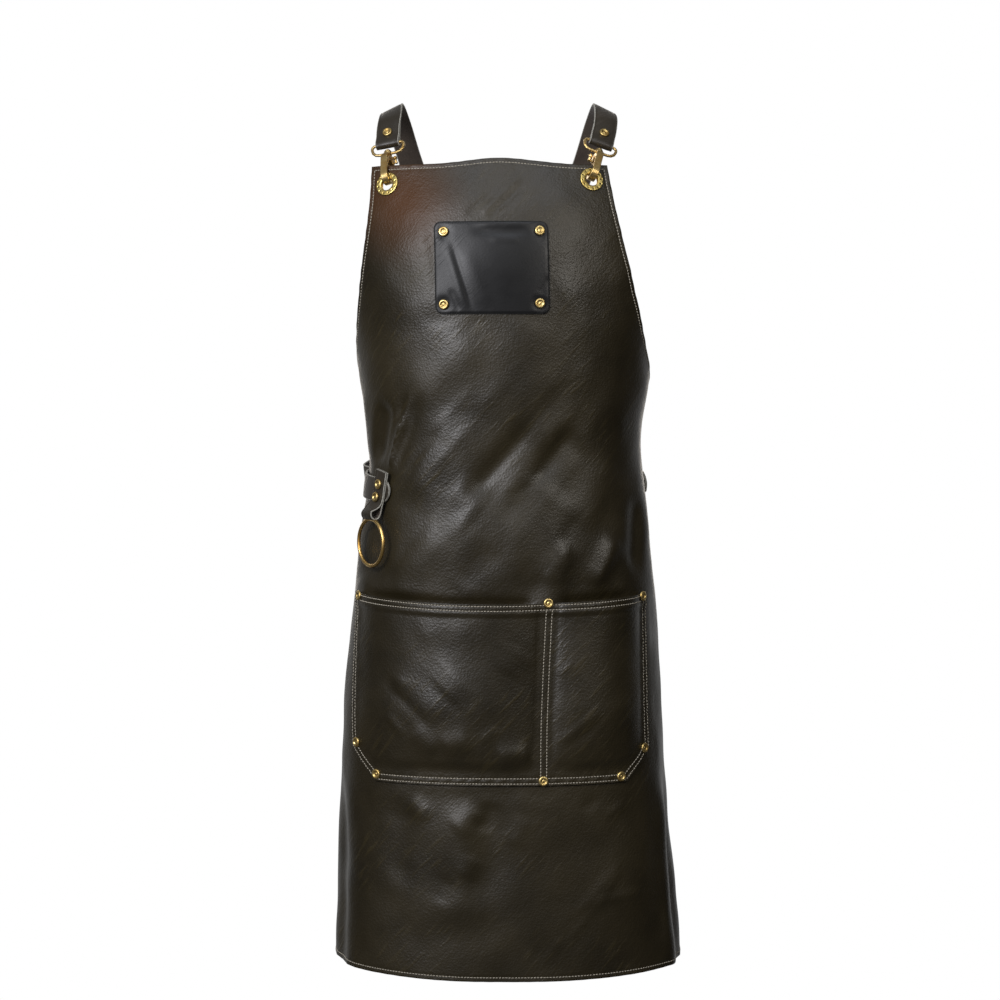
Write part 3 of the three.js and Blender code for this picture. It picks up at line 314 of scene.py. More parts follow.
def cut_point(across, nominal):
    t = (nominal - BIB_TOP) / (HEM - BIB_TOP)
    bib_rise = BIB_RISE * np.exp(-((across - BIB_RISE_CENTRE) / BIB_RISE_SPREAD) ** 2)
    hem_rise = HEM_END_RISE * (across / HEM_RISE_REACH) ** 2
    return nominal - bib_rise * (1 - t) ** 8 - hem_rise * t ** 8


# Unevenness of a worn hide: slow waves, most of them along the way the leather pulls. Lengths are the
# shortest and longest, and turns the mean and spread in degrees.
WAVES = 26
WAVE_LENGTHS = (26, 120)
WAVE_TURNS = (35, 45)


def hide_waves(across, down, seed, height):
    random = np.random.default_rng(seed)
    total = np.zeros(np.broadcast(across, down).shape)
    for _ in range(WAVES):
        length = random.uniform(*WAVE_LENGTHS)
        turn = math.radians(random.normal(*WAVE_TURNS))
        phase = random.uniform(0, 2 * math.pi)
        run = across * math.cos(turn) + down * math.sin(turn)
        total += length / 80 * np.sin(2 * math.pi * run / length + phase)
    return height * total / 5


# Share of the fine creases at a place: none round the hardware or under the patch and the pocket
def keep_clear(across, down):
    weight = np.ones(np.broadcast(across, down).shape)
    fixed = PATCH_RIVETS + POCKET_RIVETS + HIP_RIVETS["left"] + HIP_RIVETS["right"] + list(EYELETS.values())
    for a, d in fixed:
        weight = weight * smooth_step((np.hypot(across - a, down - d) - 14) / 16)
    pocket = np.maximum(np.abs(across + 4) - 190, np.maximum(POCKET_TOP + 4 - down, down - POCKET_FOOT))
    patch_fall = down - PATCH_TOP
    patch = np.maximum(np.abs(across) - PATCH_HALF, np.maximum(-patch_fall, patch_fall - PATCH_HEIGHT))
    return weight * smooth_step(pocket / 12) * smooth_step(patch / 10)


def mouth_middle(across):
    return np.sin(np.pi * np.clip((across - POCKET_LEFT[0]) / (POCKET_RIGHT[0] - POCKET_LEFT[0]), 0, 1))


def mouth_tuck(across, down):
    from_mouth = down - POCKET_TOP
    off_divider = np.abs(across - POCKET_RIVETS[1][0])
    tuck_reach = smooth_step((160 - np.abs(across)) / 20) * smooth_step((off_divider - 12) / 14)
    tuck = TUCK_DEPTH * tuck_reach * np.exp(-((from_mouth - 2 - POCKET_SAG * mouth_middle(across)) / 6) ** 2)
    fold = np.exp(-((across - HOLLOW_FOLD + HOLLOW_FOLD_LEAN * from_mouth) / 15) ** 2)
    hollow_reach = smooth_step((165 - np.abs(across)) / 50) * (1 - 0.8 * fold)
    hollow = HOLLOW_DEPTH * hollow_reach * np.exp(-((from_mouth - 8) / 36) ** 2)
    return -tuck - hollow


fine = stroke_heights(APRON_CREASES, FLAT_ACROSS, FLAT_DOWN) + hide_waves(FLAT_ACROSS, FLAT_DOWN, 4, 0.7)
fine = fine * keep_clear(FLAT_ACROSS, FLAT_DOWN) + mouth_tuck(FLAT_ACROSS, FLAT_DOWN)
leather_points = cad_points + cad_normals * fine[..., None]
leather_normals = facing(leather_points)


# Materials

def linear(colour):
    parts = [int(colour[k:k + 2], 16) / 255 for k in (1, 3, 5)]
    return tuple(c / 12.92 if c <= 0.04045 else ((c + 0.055) / 1.055) ** 2.4 for c in parts) + (1,)


def scale_for(size):
    return 1 / (size * MM)


def add_node(tree, kind, settings=None, inputs=None):
    made = tree.nodes.new(kind)
    for name, value in (settings or {}).items():
        setattr(made, name, value)
    for socket, value in (inputs or {}).items():
        if isinstance(value, bpy.types.NodeSocket):
            tree.links.new(value, made.inputs[socket])
        else:
            made.inputs[socket].default_value = value
    return made


def new_material(name):
    material = bpy.data.materials.new(name)
    material.use_nodes = True
    tree = material.node_tree
    return material, tree, tree.nodes["Principled BSDF"]


def set_ramp(ramp, stops):
    elements = ramp.color_ramp.elements
    while len(elements) < len(stops):
        elements.new(0.5)
    for element, (position, colour) in zip(elements, stops):
        element.position = position
        element.color = linear(colour)


# Waxed, drum-dyed cowhide: near black with a brown cast, a fine pebbled grain that breaks up a broad
# satin sheen, and pull lines where it has been bent. A round spot, where one is given, is drawn browner
# and with less sheen. The grain is drawn coarser than the real one, which would be too fine to show.
def grain_leather(name, dark, light, worn, grain, sheen, shine, brown_spot=None):
    material, tree, shader = new_material(name)
    where = add_node(tree, "ShaderNodeTexCoord").outputs
    cloud = add_node(tree, "ShaderNodeTexNoise", None,
                     {"Vector": where["Object"], "Scale": scale_for(85), "Detail": 4, "Roughness": 0.6})
    tone = add_node(tree, "ShaderNodeValToRGB", None, {"Fac": cloud.outputs["Fac"]})
    set_ramp(tone, [(0.32, dark), (0.68, light)])
    pebble = add_node(tree, "ShaderNodeTexVoronoi", {"feature": "SMOOTH_F1"},
                      {"Vector": where["Object"], "Scale": scale_for(2.1), "Smoothness": 0.5})
    pore = add_node(tree, "ShaderNodeTexNoise", None,
                    {"Vector": where["Object"], "Scale": scale_for(3.2), "Detail": 3, "Roughness": 0.65})
    pulled = add_node(tree, "ShaderNodeMapping", {"vector_type": "TEXTURE"}, {
        "Vector": where["UV"], "Rotation": (0, 0, math.radians(46)), "Scale": (34 * MM, 4.8 * MM, 1)})
    pull = add_node(tree, "ShaderNodeTexNoise", None,
                    {"Vector": pulled.outputs["Vector"], "Scale": 1.0, "Detail": 3, "Roughness": 0.55})
    pull_line = add_node(tree, "ShaderNodeMapRange", {"interpolation_type": "SMOOTHSTEP"},
                         {"Value": pull.outputs["Fac"], "From Min": 0.5, "From Max": 0.72})
    patchy = add_node(tree, "ShaderNodeTexNoise", None,
                      {"Vector": where["Object"], "Scale": scale_for(75), "Detail": 2})
    patchiness = add_node(tree, "ShaderNodeMapRange", {"interpolation_type": "SMOOTHSTEP"},
                          {"Value": patchy.outputs["Fac"], "From Min": 0.42, "From Max": 0.62})
    pull_height = add_node(tree, "ShaderNodeMath", {"operation": "MULTIPLY"},
                           {0: pull_line.outputs["Result"], 1: patchiness.outputs["Result"]})
    colour = add_node(tree, "ShaderNodeMix", {"data_type": "RGBA"},
                      {0: pull_height.outputs["Value"], 6: tone.outputs["Color"], 7: linear(worn)})
    # A round spot round a given centre is drawn browner, and its specular level is lowered
    if brown_spot:
        (centre_across, centre_up), radius, spot_colour = brown_spot
        reach = add_node(tree, "ShaderNodeVectorMath", {"operation": "DISTANCE"},
                         {0: where["UV"], 1: (centre_across * MM, centre_up * MM, 0)})
        spread = add_node(tree, "ShaderNodeMapRange", {"interpolation_type": "SMOOTHSTEP"},
                          {"Value": reach.outputs["Value"], "From Min": radius * MM, "From Max": 0.0})
        colour = add_node(tree, "ShaderNodeMix", {"data_type": "RGBA"},
                          {0: spread.outputs["Result"], 6: colour.outputs[2], 7: linear(spot_colour)})
        spot_shine = add_node(tree, "ShaderNodeMapRange", None,
                       {"Value": spread.outputs["Result"], "To Min": shine, "To Max": 0.4 * shine})
        tree.links.new(spot_shine.outputs["Result"], shader.inputs["Specular IOR Level"])
    tree.links.new(colour.outputs[2], shader.inputs["Base Color"])
    drawn = add_node(tree, "ShaderNodeMapping", {"vector_type": "TEXTURE"}, {
        "Vector": where["UV"], "Rotation": (0, 0, math.radians(50)), "Scale": (18 * MM, 8 * MM, 1)})
    wrinkle = add_node(tree, "ShaderNodeTexNoise", None,
                       {"Vector": drawn.outputs["Vector"], "Scale": 1.0, "Detail": 2, "Roughness": 0.5})
    wrinkle_bump = add_node(tree, "ShaderNodeBump", None,
                            {"Height": wrinkle.outputs["Fac"], "Distance": 0.9 * grain * MM, "Strength": 0.8})
    grain_height = add_node(tree, "ShaderNodeMath", {"operation": "MULTIPLY_ADD"},
                            {0: pebble.outputs["Distance"], 1: 0.8, 2: pore.outputs["Fac"]})
    line_bump = add_node(tree, "ShaderNodeBump", None,
                         {"Height": pull_height.outputs["Value"], "Distance": 0.22 * MM, "Strength": 0.7,
                          "Normal": wrinkle_bump.outputs["Normal"]})
    grain_bump = add_node(tree, "ShaderNodeBump", None,
                          {"Height": grain_height.outputs["Value"], "Distance": grain * MM, "Strength": 0.8,
                           "Normal": line_bump.outputs["Normal"]})
    tree.links.new(grain_bump.outputs["Normal"], shader.inputs["Normal"])
    gloss = add_node(tree, "ShaderNodeMapRange", None,
                     {"Value": cloud.outputs["Fac"], "From Min": 0.3, "From Max": 0.7,
                      "To Min": sheen, "To Max": sheen + 0.12})
    tree.links.new(gloss.outputs["Result"], shader.inputs["Roughness"])
    shader.inputs["Specular IOR Level"].default_value = shine
    return material


# Flesh side of the hide: brown, brushed and matt, with short fibres
def flesh_side():
    material, tree, shader = new_material("flesh_side_suede")
    where = add_node(tree, "ShaderNodeTexCoord").outputs
    cloud = add_node(tree, "ShaderNodeTexNoise", None,
                     {"Vector": where["Object"], "Scale": scale_for(50), "Detail": 5, "Roughness": 0.65})
    tone = add_node(tree, "ShaderNodeValToRGB", None, {"Fac": cloud.outputs["Fac"]})
    set_ramp(tone, [(0.3, "#2f2822"), (0.7, "#4a4037")])
    tree.links.new(tone.outputs["Color"], shader.inputs["Base Color"])
    fibre = add_node(tree, "ShaderNodeTexNoise", None,
                     {"Vector": where["Object"], "Scale": scale_for(2.2), "Detail": 4, "Roughness": 0.7})
    bump = add_node(tree, "ShaderNodeBump", None, {"Height": fibre.outputs["Fac"], "Distance": 0.6 * MM})
    tree.links.new(bump.outputs["Normal"], shader.inputs["Normal"])
    shader.inputs["Roughness"].default_value = 0.95
    shader.inputs["Specular IOR Level"].default_value = 0.2
    shader.inputs["Sheen Weight"].default_value = 0.25
    shader.inputs["Sheen Roughness"].default_value = 0.5
    return material


# Cut edge of the hide: pale grey fibres, undyed and slightly burnished
def cut_edge():
    material, tree, shader = new_material("cut_leather_edge")
    where = add_node(tree, "ShaderNodeTexCoord").outputs
    fibre = add_node(tree, "ShaderNodeTexNoise", None,
                     {"Vector": where["Object"], "Scale": scale_for(2.5), "Detail": 4, "Roughness": 0.7})
    tone = add_node(tree, "ShaderNodeValToRGB", None, {"Fac": fibre.outputs["Fac"]})
    set_ramp(tone, [(0.3, "#6d6b64"), (0.7, "#a3a198")])
    tree.links.new(tone.outputs["Color"], shader.inputs["Base Color"])
    bump = add_node(tree, "ShaderNodeBump", None, {"Height": fibre.outputs["Fac"], "Distance": 0.3 * MM})
    tree.links.new(bump.outputs["Normal"], shader.inputs["Normal"])
    shader.inputs["Roughness"].default_value = 0.8
    return material


# Black edge paint on the patch's skived border: thick, rubbed and dull, and drawn wide so it is also a
# painted shadow line round the patch
def edge_paint_and_shadow():
    material, tree, shader = new_material("black_edge_paint_and_shadow")
    where = add_node(tree, "ShaderNodeTexCoord").outputs
    brushed = add_node(tree, "ShaderNodeTexNoise", None,
                       {"Vector": where["Object"], "Scale": scale_for(4), "Detail": 3})
    tone = add_node(tree, "ShaderNodeValToRGB", None, {"Fac": brushed.outputs["Fac"]})
    set_ramp(tone, [(0.35, "#060606"), (0.65, "#0e0e0d")])
    tree.links.new(tone.outputs["Color"], shader.inputs["Base Color"])
    shader.inputs["Roughness"].default_value = 0.6
    shader.inputs["Specular IOR Level"].default_value = 0.25
    return material


# Waxed polyester thread: grey, with the twist of its yarn
def waxed_thread():
    material, tree, shader = new_material("waxed_thread")
    where = add_node(tree, "ShaderNodeTexCoord").outputs
    twist = add_node(tree, "ShaderNodeMapping", None, {
        "Vector": where["UV"], "Rotation": (0, 0, math.radians(40)), "Scale": (scale_for(0.9),) * 3})
    yarn = add_node(tree, "ShaderNodeTexWave", None, {"Vector": twist.outputs["Vector"], "Scale": 0.32})
    tone = add_node(tree, "ShaderNodeValToRGB", None, {"Fac": yarn.outputs["Fac"]})
    set_ramp(tone, [(0.2, "#7d776b"), (0.8, "#b6af9f")])
    tree.links.new(tone.outputs["Color"], shader.inputs["Base Color"])
    bump = add_node(tree, "ShaderNodeBump", None, {"Height": yarn.outputs["Fac"], "Distance": 0.2 * MM})
    tree.links.new(bump.outputs["Normal"], shader.inputs["Normal"])
    shader.inputs["Roughness"].default_value = 0.6
    return material


# Cast or drawn brass, lacquered and handled: bright where it is rubbed, brown where it has dulled
def brass(name, bright, dull, rough, patch_size):
    material, tree, shader = new_material(name)
    where = add_node(tree, "ShaderNodeTexCoord").outputs
    tarnish = add_node(tree, "ShaderNodeTexNoise", None,
                       {"Vector": where["Object"], "Scale": scale_for(patch_size),
                        "Detail": 5, "Roughness": 0.65})
    tone = add_node(tree, "ShaderNodeValToRGB", None, {"Fac": tarnish.outputs["Fac"]})
    set_ramp(tone, [(0.36, bright), (0.66, dull)])
    tree.links.new(tone.outputs["Color"], shader.inputs["Base Color"])
    gloss = add_node(tree, "ShaderNodeMapRange", None,
                     {"Value": tarnish.outputs["Fac"], "From Min": 0.35, "From Max": 0.7,
                      "To Min": rough, "To Max": rough + 0.18})
    tree.links.new(gloss.outputs["Result"], shader.inputs["Roughness"])
    scratch = add_node(tree, "ShaderNodeTexNoise", None,
                       {"Vector": where["Object"], "Scale": scale_for(1.2), "Detail": 3})
    bump = add_node(tree, "ShaderNodeBump", None, {"Height": scratch.outputs["Fac"], "Distance": 0.06 * MM})
    tree.links.new(bump.outputs["Normal"], shader.inputs["Normal"])
    shader.inputs["Metallic"].default_value = 1.0
    return material


# The apron hide has a round spot at the bib's top left that is drawn browner and with less sheen
APRON_GRAIN = grain_leather("waxed_apron_leather", "#1c170b", "#28210f", "#2d2613", 0.27, 0.37, 0.5,
                            ((-94, -104), 85, "#42270e"))
PATCH_SMOOTH = grain_leather("smooth_patch_leather", "#0c0c0d", "#121213", "#171718", 0.05, 0.36, 0.34)
STRAP_GRAIN = grain_leather("bridle_strap_leather", "#211c14", "#2d271d", "#38322a", 0.14, 0.42, 0.5)
FLESH = flesh_side()
CUT_EDGE = cut_edge()
THREAD = waxed_thread()
EDGE_PAINT_AND_SHADOW = edge_paint_and_shadow()
RIVET_BRASS = brass("stamped_rivet_brass", "#e0c98a", "#a3854a", 0.34, 6)
EYELET_BRASS = brass("pressed_eyelet_brass", "#d8c37a", "#9c8446", 0.30, 8)
DARK_BRASS = brass("tarnished_brass", "#6a5730", "#453619", 0.45, 4)
HOOK_BRASS = brass("cast_hook_brass", "#e2c78a", "#a5844c", 0.32, 10)
RING_BRASS = brass("drawn_ring_brass", "#f0d08a", "#b58c4a", 0.28, 18)


# Helpers for pieces

def new_piece(name, points, faces, materials, uv=None):
    mesh = bpy.data.meshes.new(name)
    mesh.from_pydata((np.asarray(points) * MM).tolist(), [], [list(map(int, face)) for face in faces])
    for material in materials:
        mesh.materials.append(material)
    if uv is not None:
        corner = np.empty(len(mesh.loops), np.int32)
        mesh.loops.foreach_get("vertex_index", corner)
        layer = mesh.uv_layers.new(name="cut")
        layer.data.foreach_set("uv", (np.asarray(uv)[corner] * MM).ravel())
    mesh.shade_smooth()
    piece = bpy.data.objects.new(name, mesh)
    scene.collection.objects.link(piece)
    return piece


def work_on(piece):
    bpy.ops.object.select_all(action="DESELECT")
    piece.select_set(True)
    bpy.context.view_layer.objects.active = piece


def apply_modifiers(piece):
    work_on(piece)
    for modifier in list(piece.modifiers):
        bpy.ops.object.modifier_apply(modifier=modifier.name)
    piece.select_set(False)


def add_wall(piece, thickness, rim, thin=None):
    wall = piece.modifiers.new("wall", "SOLIDIFY")
    wall.thickness = thickness * MM
    wall.offset = -1
    wall.material_offset = 1
    wall.material_offset_rim = 2
    if thin:
        wall.vertex_group = "doubled"
        wall.thickness_vertex_group = thin
    edge = piece.modifiers.new("edge", "BEVEL")
    edge.width = rim * MM
    edge.segments = 2
    edge.limit_method = "ANGLE"
    edge.angle_limit = math.radians(55)
    apply_modifiers(piece)


def settle(piece, node, body):
    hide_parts(node)
    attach(piece, body)


def frame_at(point, direction, side):
    z = unit(np.asarray(direction, float))
    side = np.asarray(side, float)
    x = unit(side - z * side.dot(z))
    y = np.cross(z, x)
    matrix = Matrix(np.column_stack([x, y, z]).tolist()).to_4x4()
    matrix.translation = (np.asarray(point) * MM).tolist()
    return matrix


def copy_of(master, name, matrix):
    piece = bpy.data.objects.new(name, master.data.copy())
    piece.data.name = name
    piece.data.transform(matrix)
    scene.collection.objects.link(piece)
    return piece


def leather_frame(across, down, out):
    point, normal = place(across, down, out)
    upward = place(across, down - 3)[0] - place(across, down + 3)[0]
    return point, normal, unit(upward)


# Apron: one hide with a turned hem all round

def hemmed(start, end, count):
    rim = np.array([0, 0.9, 2.4, EDGE_ROW, 6.4, 8.6])
    return np.concatenate([start + rim, np.linspace(start + 12, end - 12, count), (end - rim)[::-1]])


def grid_faces(rows, columns):
    at = np.arange(rows * columns).reshape(rows, columns)
    return np.stack([at[:-1, :-1], at[1:, :-1], at[1:, 1:], at[:-1, 1:]], axis=-1).reshape(-1, 4)


def make_apron():
    rows, columns = 222, 140
    nominal = hemmed(BIB_TOP, HEM, rows)
    half = column(CUT, 1, nominal)
    across = np.stack([hemmed(-h, h, columns) for h in half])
    down = cut_point(across, nominal[:, None])
    to_side = half[:, None] - np.abs(across)
    to_end = np.minimum(nominal - BIB_TOP, HEM - nominal)[:, None]
    to_edge = np.minimum(to_side, to_end)
    along = np.where(to_side < to_end, nominal[:, None], across)
    seam = np.exp(-((to_edge - EDGE_ROW) / 1.1) ** 2)
    out = -0.4 * seam + 0.3 * np.exp(-((to_edge - 2.2) / 1.4) ** 2)
    out += 0.3 * np.sin(along / 2.6) * np.exp(-(to_edge / 7) ** 2) * np.sin(along / 17)
    flat = np.column_stack([across.ravel(), down.ravel()])
    faces = grid_faces(*across.shape)
    is_hem = (to_edge.ravel()[faces] < HEM_TURN).all(axis=1)
    keep = np.ones(len(faces), bool)
    for centre in EYELETS.values():
        offset = flat - np.array(centre)
        reach = np.hypot(offset[:, 0], offset[:, 1])
        inside = reach < EYELET_HOLE
        keep &= ~inside[faces].all(axis=1)
        flat[inside] = np.array(centre) + offset[inside] / reach[inside, None] * EYELET_HOLE
    faces = faces[keep]
    is_hem = is_hem[keep]
    used = np.unique(faces)
    renumber = np.full(len(flat), -1)
    renumber[used] = np.arange(len(used))
    faces = renumber[faces]
    flat = flat[used]
    points, _ = place(flat[:, 0], flat[:, 1], out.ravel()[used], leather_points, leather_normals)
    slots = [APRON_GRAIN, FLESH, CUT_EDGE, APRON_GRAIN, APRON_GRAIN, APRON_GRAIN]
    piece = new_piece("apron_hide", points, faces, slots, flat * [1, -1])
    piece.data.polygons.foreach_set("material_index", np.where(is_hem, 3, 0).astype(np.int32))
    doubled = piece.vertex_groups.new(name="doubled")
    doubled.add(np.flatnonzero(to_edge.ravel()[used] < HEM_TURN).tolist(), 1.0, "REPLACE")
    add_wall(piece, APRON_LEATHER + HEM_LEATHER, 0.6, APRON_LEATHER / (APRON_LEATHER + HEM_LEATHER))
    settle(piece, "apron_body", "apron")
    return piece


# Pocket: sewn down round its sides, foot and divider

def pocket_edges(t):
    return [mouth + (foot - mouth) * t for mouth, foot in (POCKET_LEFT, POCKET_RIGHT, POCKET_DIVIDER)]


def pocket_surface(across, fall):
    across = np.asarray(across, float)
    fall = np.asarray(fall, float)
    t = fall / POCKET_HEIGHT
    left, right, divider = pocket_edges(t)
    is_left = across < divider
    start = np.where(is_left, left + POCKET_SEAM, divider + POCKET_DIVIDER_SEAM)
    end = np.where(is_left, divider - POCKET_DIVIDER_SEAM, right - POCKET_SEAM)
    aside = np.clip((across - start) / (end - start), 0, 1)
    belly = np.sin(np.pi * np.where(is_left, aside ** 1.35, aside)) ** 0.75
    stand = POCKET_STAND_OFF * belly * smooth_step((POCKET_HEIGHT - fall - POCKET_SEAM) / 70)
    low = np.exp(-((fall - POCKET_LOW_SAG_FALL) / 26) ** 2) * smooth_step((184 - fall) / 14)
    stand = stand + POCKET_LOW_SAG * belly * low
    hem = HEM_LEATHER * (1 - smooth_step((fall - POCKET_MOUTH_HEM + 1.5) / 2))
    down = POCKET_TOP + fall + POCKET_SAG * mouth_middle(across) * (1 - t) ** 3
    foot = np.clip((fall - POCKET_HEIGHT + POCKET_CHAMFER[1]) / POCKET_CHAMFER[1], 0, 1) * POCKET_CHAMFER[0]
    to_edge = np.minimum(np.minimum(across - left - foot, right - foot - across), POCKET_HEIGHT - fall)
    to_divider = np.abs(across - divider)
    from_rows = [reach - row for row in POCKET_ROWS for reach in (to_edge, fall)] + [to_divider - DIVIDER_ROW]
    seam = sum(np.exp(-(from_row / SEAM_WIDTH) ** 2) for from_row in from_rows)
    free = smooth_step((to_edge - 9) / 14) * smooth_step((fall - 9) / 10) * smooth_step((to_divider - 5) / 10)
    waves = stroke_heights(POCKET_CREASES, across, down) + hide_waves(across, down, 9, 0.7)
    pucker = 0.25 * np.sin((across + fall) / 2.3) * np.exp(-((to_edge - 5) / 5) ** 2)
    out = SEAM_GAP + stand + POCKET_LEATHER + hem - 0.3 * np.minimum(seam, 1) + waves * free + pucker
    point, normal = place(across, down, out)
    return point, normal, down


def make_pocket():
    rim = np.array([0, 0.8, 2.2, 3.6, 4.9, 6.2, 7.6, 9.2, 12])
    near = np.array([9, 6.4, 4.6, 3.1, 1.6])
    chamfer_top = POCKET_HEIGHT - POCKET_CHAMFER[1]
    fall = np.concatenate([rim, np.linspace(14.2, chamfer_top, 50),
                           np.linspace(chamfer_top + 3, POCKET_HEIGHT - 15, 7), (POCKET_HEIGHT - rim)[::-1]])
    across = []
    for f in fall:
        left, right, divider = pocket_edges(f / POCKET_HEIGHT)
        foot = np.clip((f - chamfer_top) / POCKET_CHAMFER[1], 0, 1) * POCKET_CHAMFER[0]
        left, right = left + foot, right - foot
        across.append(np.concatenate([
            left + rim, np.linspace(left + 15, divider - 12, 72), divider - near, [divider],
            (divider + near)[::-1], np.linspace(divider + 12, right - 15, 34), (right - rim)[::-1]]))
    across = np.stack(across)
    falls = np.repeat(fall[:, None], across.shape[1], axis=1)
    points, _, down = pocket_surface(across, falls)
    slots = [APRON_GRAIN, FLESH, APRON_GRAIN, APRON_GRAIN, APRON_GRAIN, APRON_GRAIN]
    uv = np.column_stack([across.ravel() + POCKET_GRAIN_SHIFT, -down.ravel()])
    piece = new_piece("pocket_leather", points.reshape(-1, 3), grid_faces(*across.shape), slots, uv)
    doubled = piece.vertex_groups.new(name="doubled")
    doubled.add(np.flatnonzero(falls.ravel() < POCKET_MOUTH_HEM).tolist(), 1.0, "REPLACE")
    add_wall(piece, POCKET_LEATHER + HEM_LEATHER, 0.5, POCKET_LEATHER / (POCKET_LEATHER + HEM_LEATHER))
    settle(piece, "pocket_panel", "apron")
    return piece


# Chest patch: smooth leather, held by its corners and slack between them

def make_patch():
    turn = np.radians(np.arange(0, 91, 7.5))
    corner = PATCH_CORNER * (1 - np.cos(turn))
    fall = np.concatenate([corner, np.linspace(PATCH_CORNER + 2, PATCH_HEIGHT - PATCH_CORNER - 2, 44),
                           (PATCH_HEIGHT - corner)[::-1]])
    to_end = np.minimum(np.minimum(fall, PATCH_HEIGHT - fall), PATCH_CORNER)
    inset = PATCH_CORNER - np.sqrt(np.maximum(PATCH_CORNER ** 2 - (PATCH_CORNER - to_end) ** 2, 0))
    inset = np.minimum(inset, PATCH_CORNER)
    across = (PATCH_HALF - inset)[:, None] * np.linspace(-1, 1, 72)[None, :]
    falls = np.repeat(fall[:, None], across.shape[1], axis=1)
    down = PATCH_TOP + falls
    slack = np.cos(np.pi * across / (2 * PATCH_HALF + 4)) * np.sin(np.pi * falls / PATCH_HEIGHT)
    creases = stroke_heights(PATCH_CREASES, across, down) + hide_waves(across, down, 21, 0.16)
    for a, d in PATCH_RIVETS:
        reach = np.hypot(across - a, down - d)
        creases = creases * smooth_step((reach - 4) / 8) - 0.8 * np.exp(-((reach - 4) / 4) ** 2)
    to_side = PATCH_HALF - inset[:, None] - np.abs(across)
    to_edge = np.minimum(to_side, np.minimum(falls, PATCH_HEIGHT - falls))
    skive = 0.5 * (1 - smooth_step(to_edge / 3))
    out = SEAM_GAP + PATCH_LEATHER + PATCH_STAND_OFF * slack + creases - skive
    points, _ = place(across, down, np.maximum(out, SEAM_GAP + 0.8))
    uv = np.column_stack([across.ravel() + PATCH_GRAIN_SHIFT, -down.ravel()])
    piece = new_piece("patch_leather", points.reshape(-1, 3), grid_faces(*across.shape),
                      [PATCH_SMOOTH, FLESH, EDGE_PAINT_AND_SHADOW, EDGE_PAINT_AND_SHADOW, EDGE_PAINT_AND_SHADOW], uv)
    # The faces along the patch's border take the black edge paint, which also paints the shadow line round
    # the patch
    border = (to_edge.ravel() < 0.9).tolist()
    for polygon in piece.data.polygons:
        if any(border[k] for k in polygon.vertices):
            polygon.material_index = 2
    add_wall(piece, PATCH_LEATHER - 0.3, 0.45)
    settle(piece, "chest_patch", "apron")
    return piece


# Stitches: short twisted threads that dip into the leather at both ends

def stitch_shape():
    sides = 6
    rings = [(-0.5, 0.4), (-0.36, 0.85), (-0.12, 1.0), (0.12, 1.0), (0.36, 0.85), (0.5, 0.4)]
    points, uv = [], []
    for run, girth in rings:
        for k in range(sides):
            angle = 2 * math.pi * k / sides
            rise = 0.2 - 0.5 * abs(2 * run) ** 3
            points.append((run * STITCH_LENGTH, STITCH_RADIUS * girth * math.cos(angle),
                           STITCH_HEIGHT * girth * math.sin(angle) + rise))
            uv.append((run * STITCH_LENGTH, STITCH_RADIUS * angle))
    faces = []
    for here in range(0, (len(rings) - 1) * sides, sides):
        there = here + sides
        for k in range(sides):
            m = (k + 1) % sides
            faces.append([here + m, there + m, there + k, here + k])
    last = (len(rings) - 1) * sides
    caps = [list(range(sides)), list(range(last + sides - 1, last - 1, -1))]
    return np.array(points), faces + caps, np.array(uv)


def stitch_places(points, normals):
    run = run_along(points)
    count = max(int(run[-1] / STITCH_PITCH), 1)
    centres = (np.arange(count) + 0.5) * run[-1] / count

    def at(places, rows):
        return np.column_stack([np.interp(places, run, rows[:, k]) for k in range(3)])

    along = unit(at(centres + 1, points) - at(centres - 1, points))
    aside = unit(np.cross(unit(at(centres, normals)), along))
    return at(centres, points), along, aside, np.cross(along, aside)


def make_stitches(name, rows):
    shape, shape_faces, shape_uv = stitch_shape()
    points, faces, uv = [], [], []
    total = 0
    for row_points, row_normals in rows:
        for middle, along, aside, normal in zip(*stitch_places(row_points, row_normals)):
            points.append(middle + shape[:, :1] * along + shape[:, 1:2] * aside + shape[:, 2:] * normal)
            faces.extend([[total + k for k in face] for face in shape_faces])
            uv.append(shape_uv)
            total += len(shape)
    piece = new_piece(name, np.vstack(points), faces, [THREAD], np.vstack(uv))
    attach(piece, "apron")
    return piece


def dense(corners, step=1.5):
    corners = np.asarray(corners, float)
    run = run_along(corners)
    places = np.linspace(0, run[-1], max(int(run[-1] / step), 2))
    return np.column_stack([np.interp(places, run, corners[:, 0]), np.interp(places, run, corners[:, 1])])


def apron_rows():
    nominal = np.linspace(BIB_TOP + EDGE_ROW, HEM - EDGE_ROW, 500)
    side = column(CUT, 1, nominal) - EDGE_ROW
    top = np.linspace(-side[0], side[0], 180)
    foot = np.linspace(-side[-1], side[-1], 380)
    paths = [
        (top, cut_point(top, nominal[0])),
        (side, cut_point(side, nominal)),
        (foot, cut_point(foot, nominal[-1])),
        (-side, cut_point(-side, nominal)),
    ]
    rows = []
    back = -APRON_LEATHER - HEM_LEATHER + 0.1
    for across, down in paths:
        for out, way in ((-0.25, 1), (back, -1)):
            points, normals = place(across, down, out, leather_points, leather_normals)
            rows.append((points, normals * way))
    return rows


def inset_line(corners, inset):
    corners = np.asarray(corners, float)
    runs = unit(np.diff(corners, axis=0))
    inward = np.column_stack([runs[:, 1], -runs[:, 0]])
    moved = [corners[0] + inward[0] * inset]
    for k in range(1, len(corners) - 1):
        bisector = unit(inward[k - 1] + inward[k])
        moved.append(corners[k] + bisector * inset / bisector.dot(inward[k]))
    moved.append(corners[-1] + inward[-1] * inset)
    return np.array(moved)


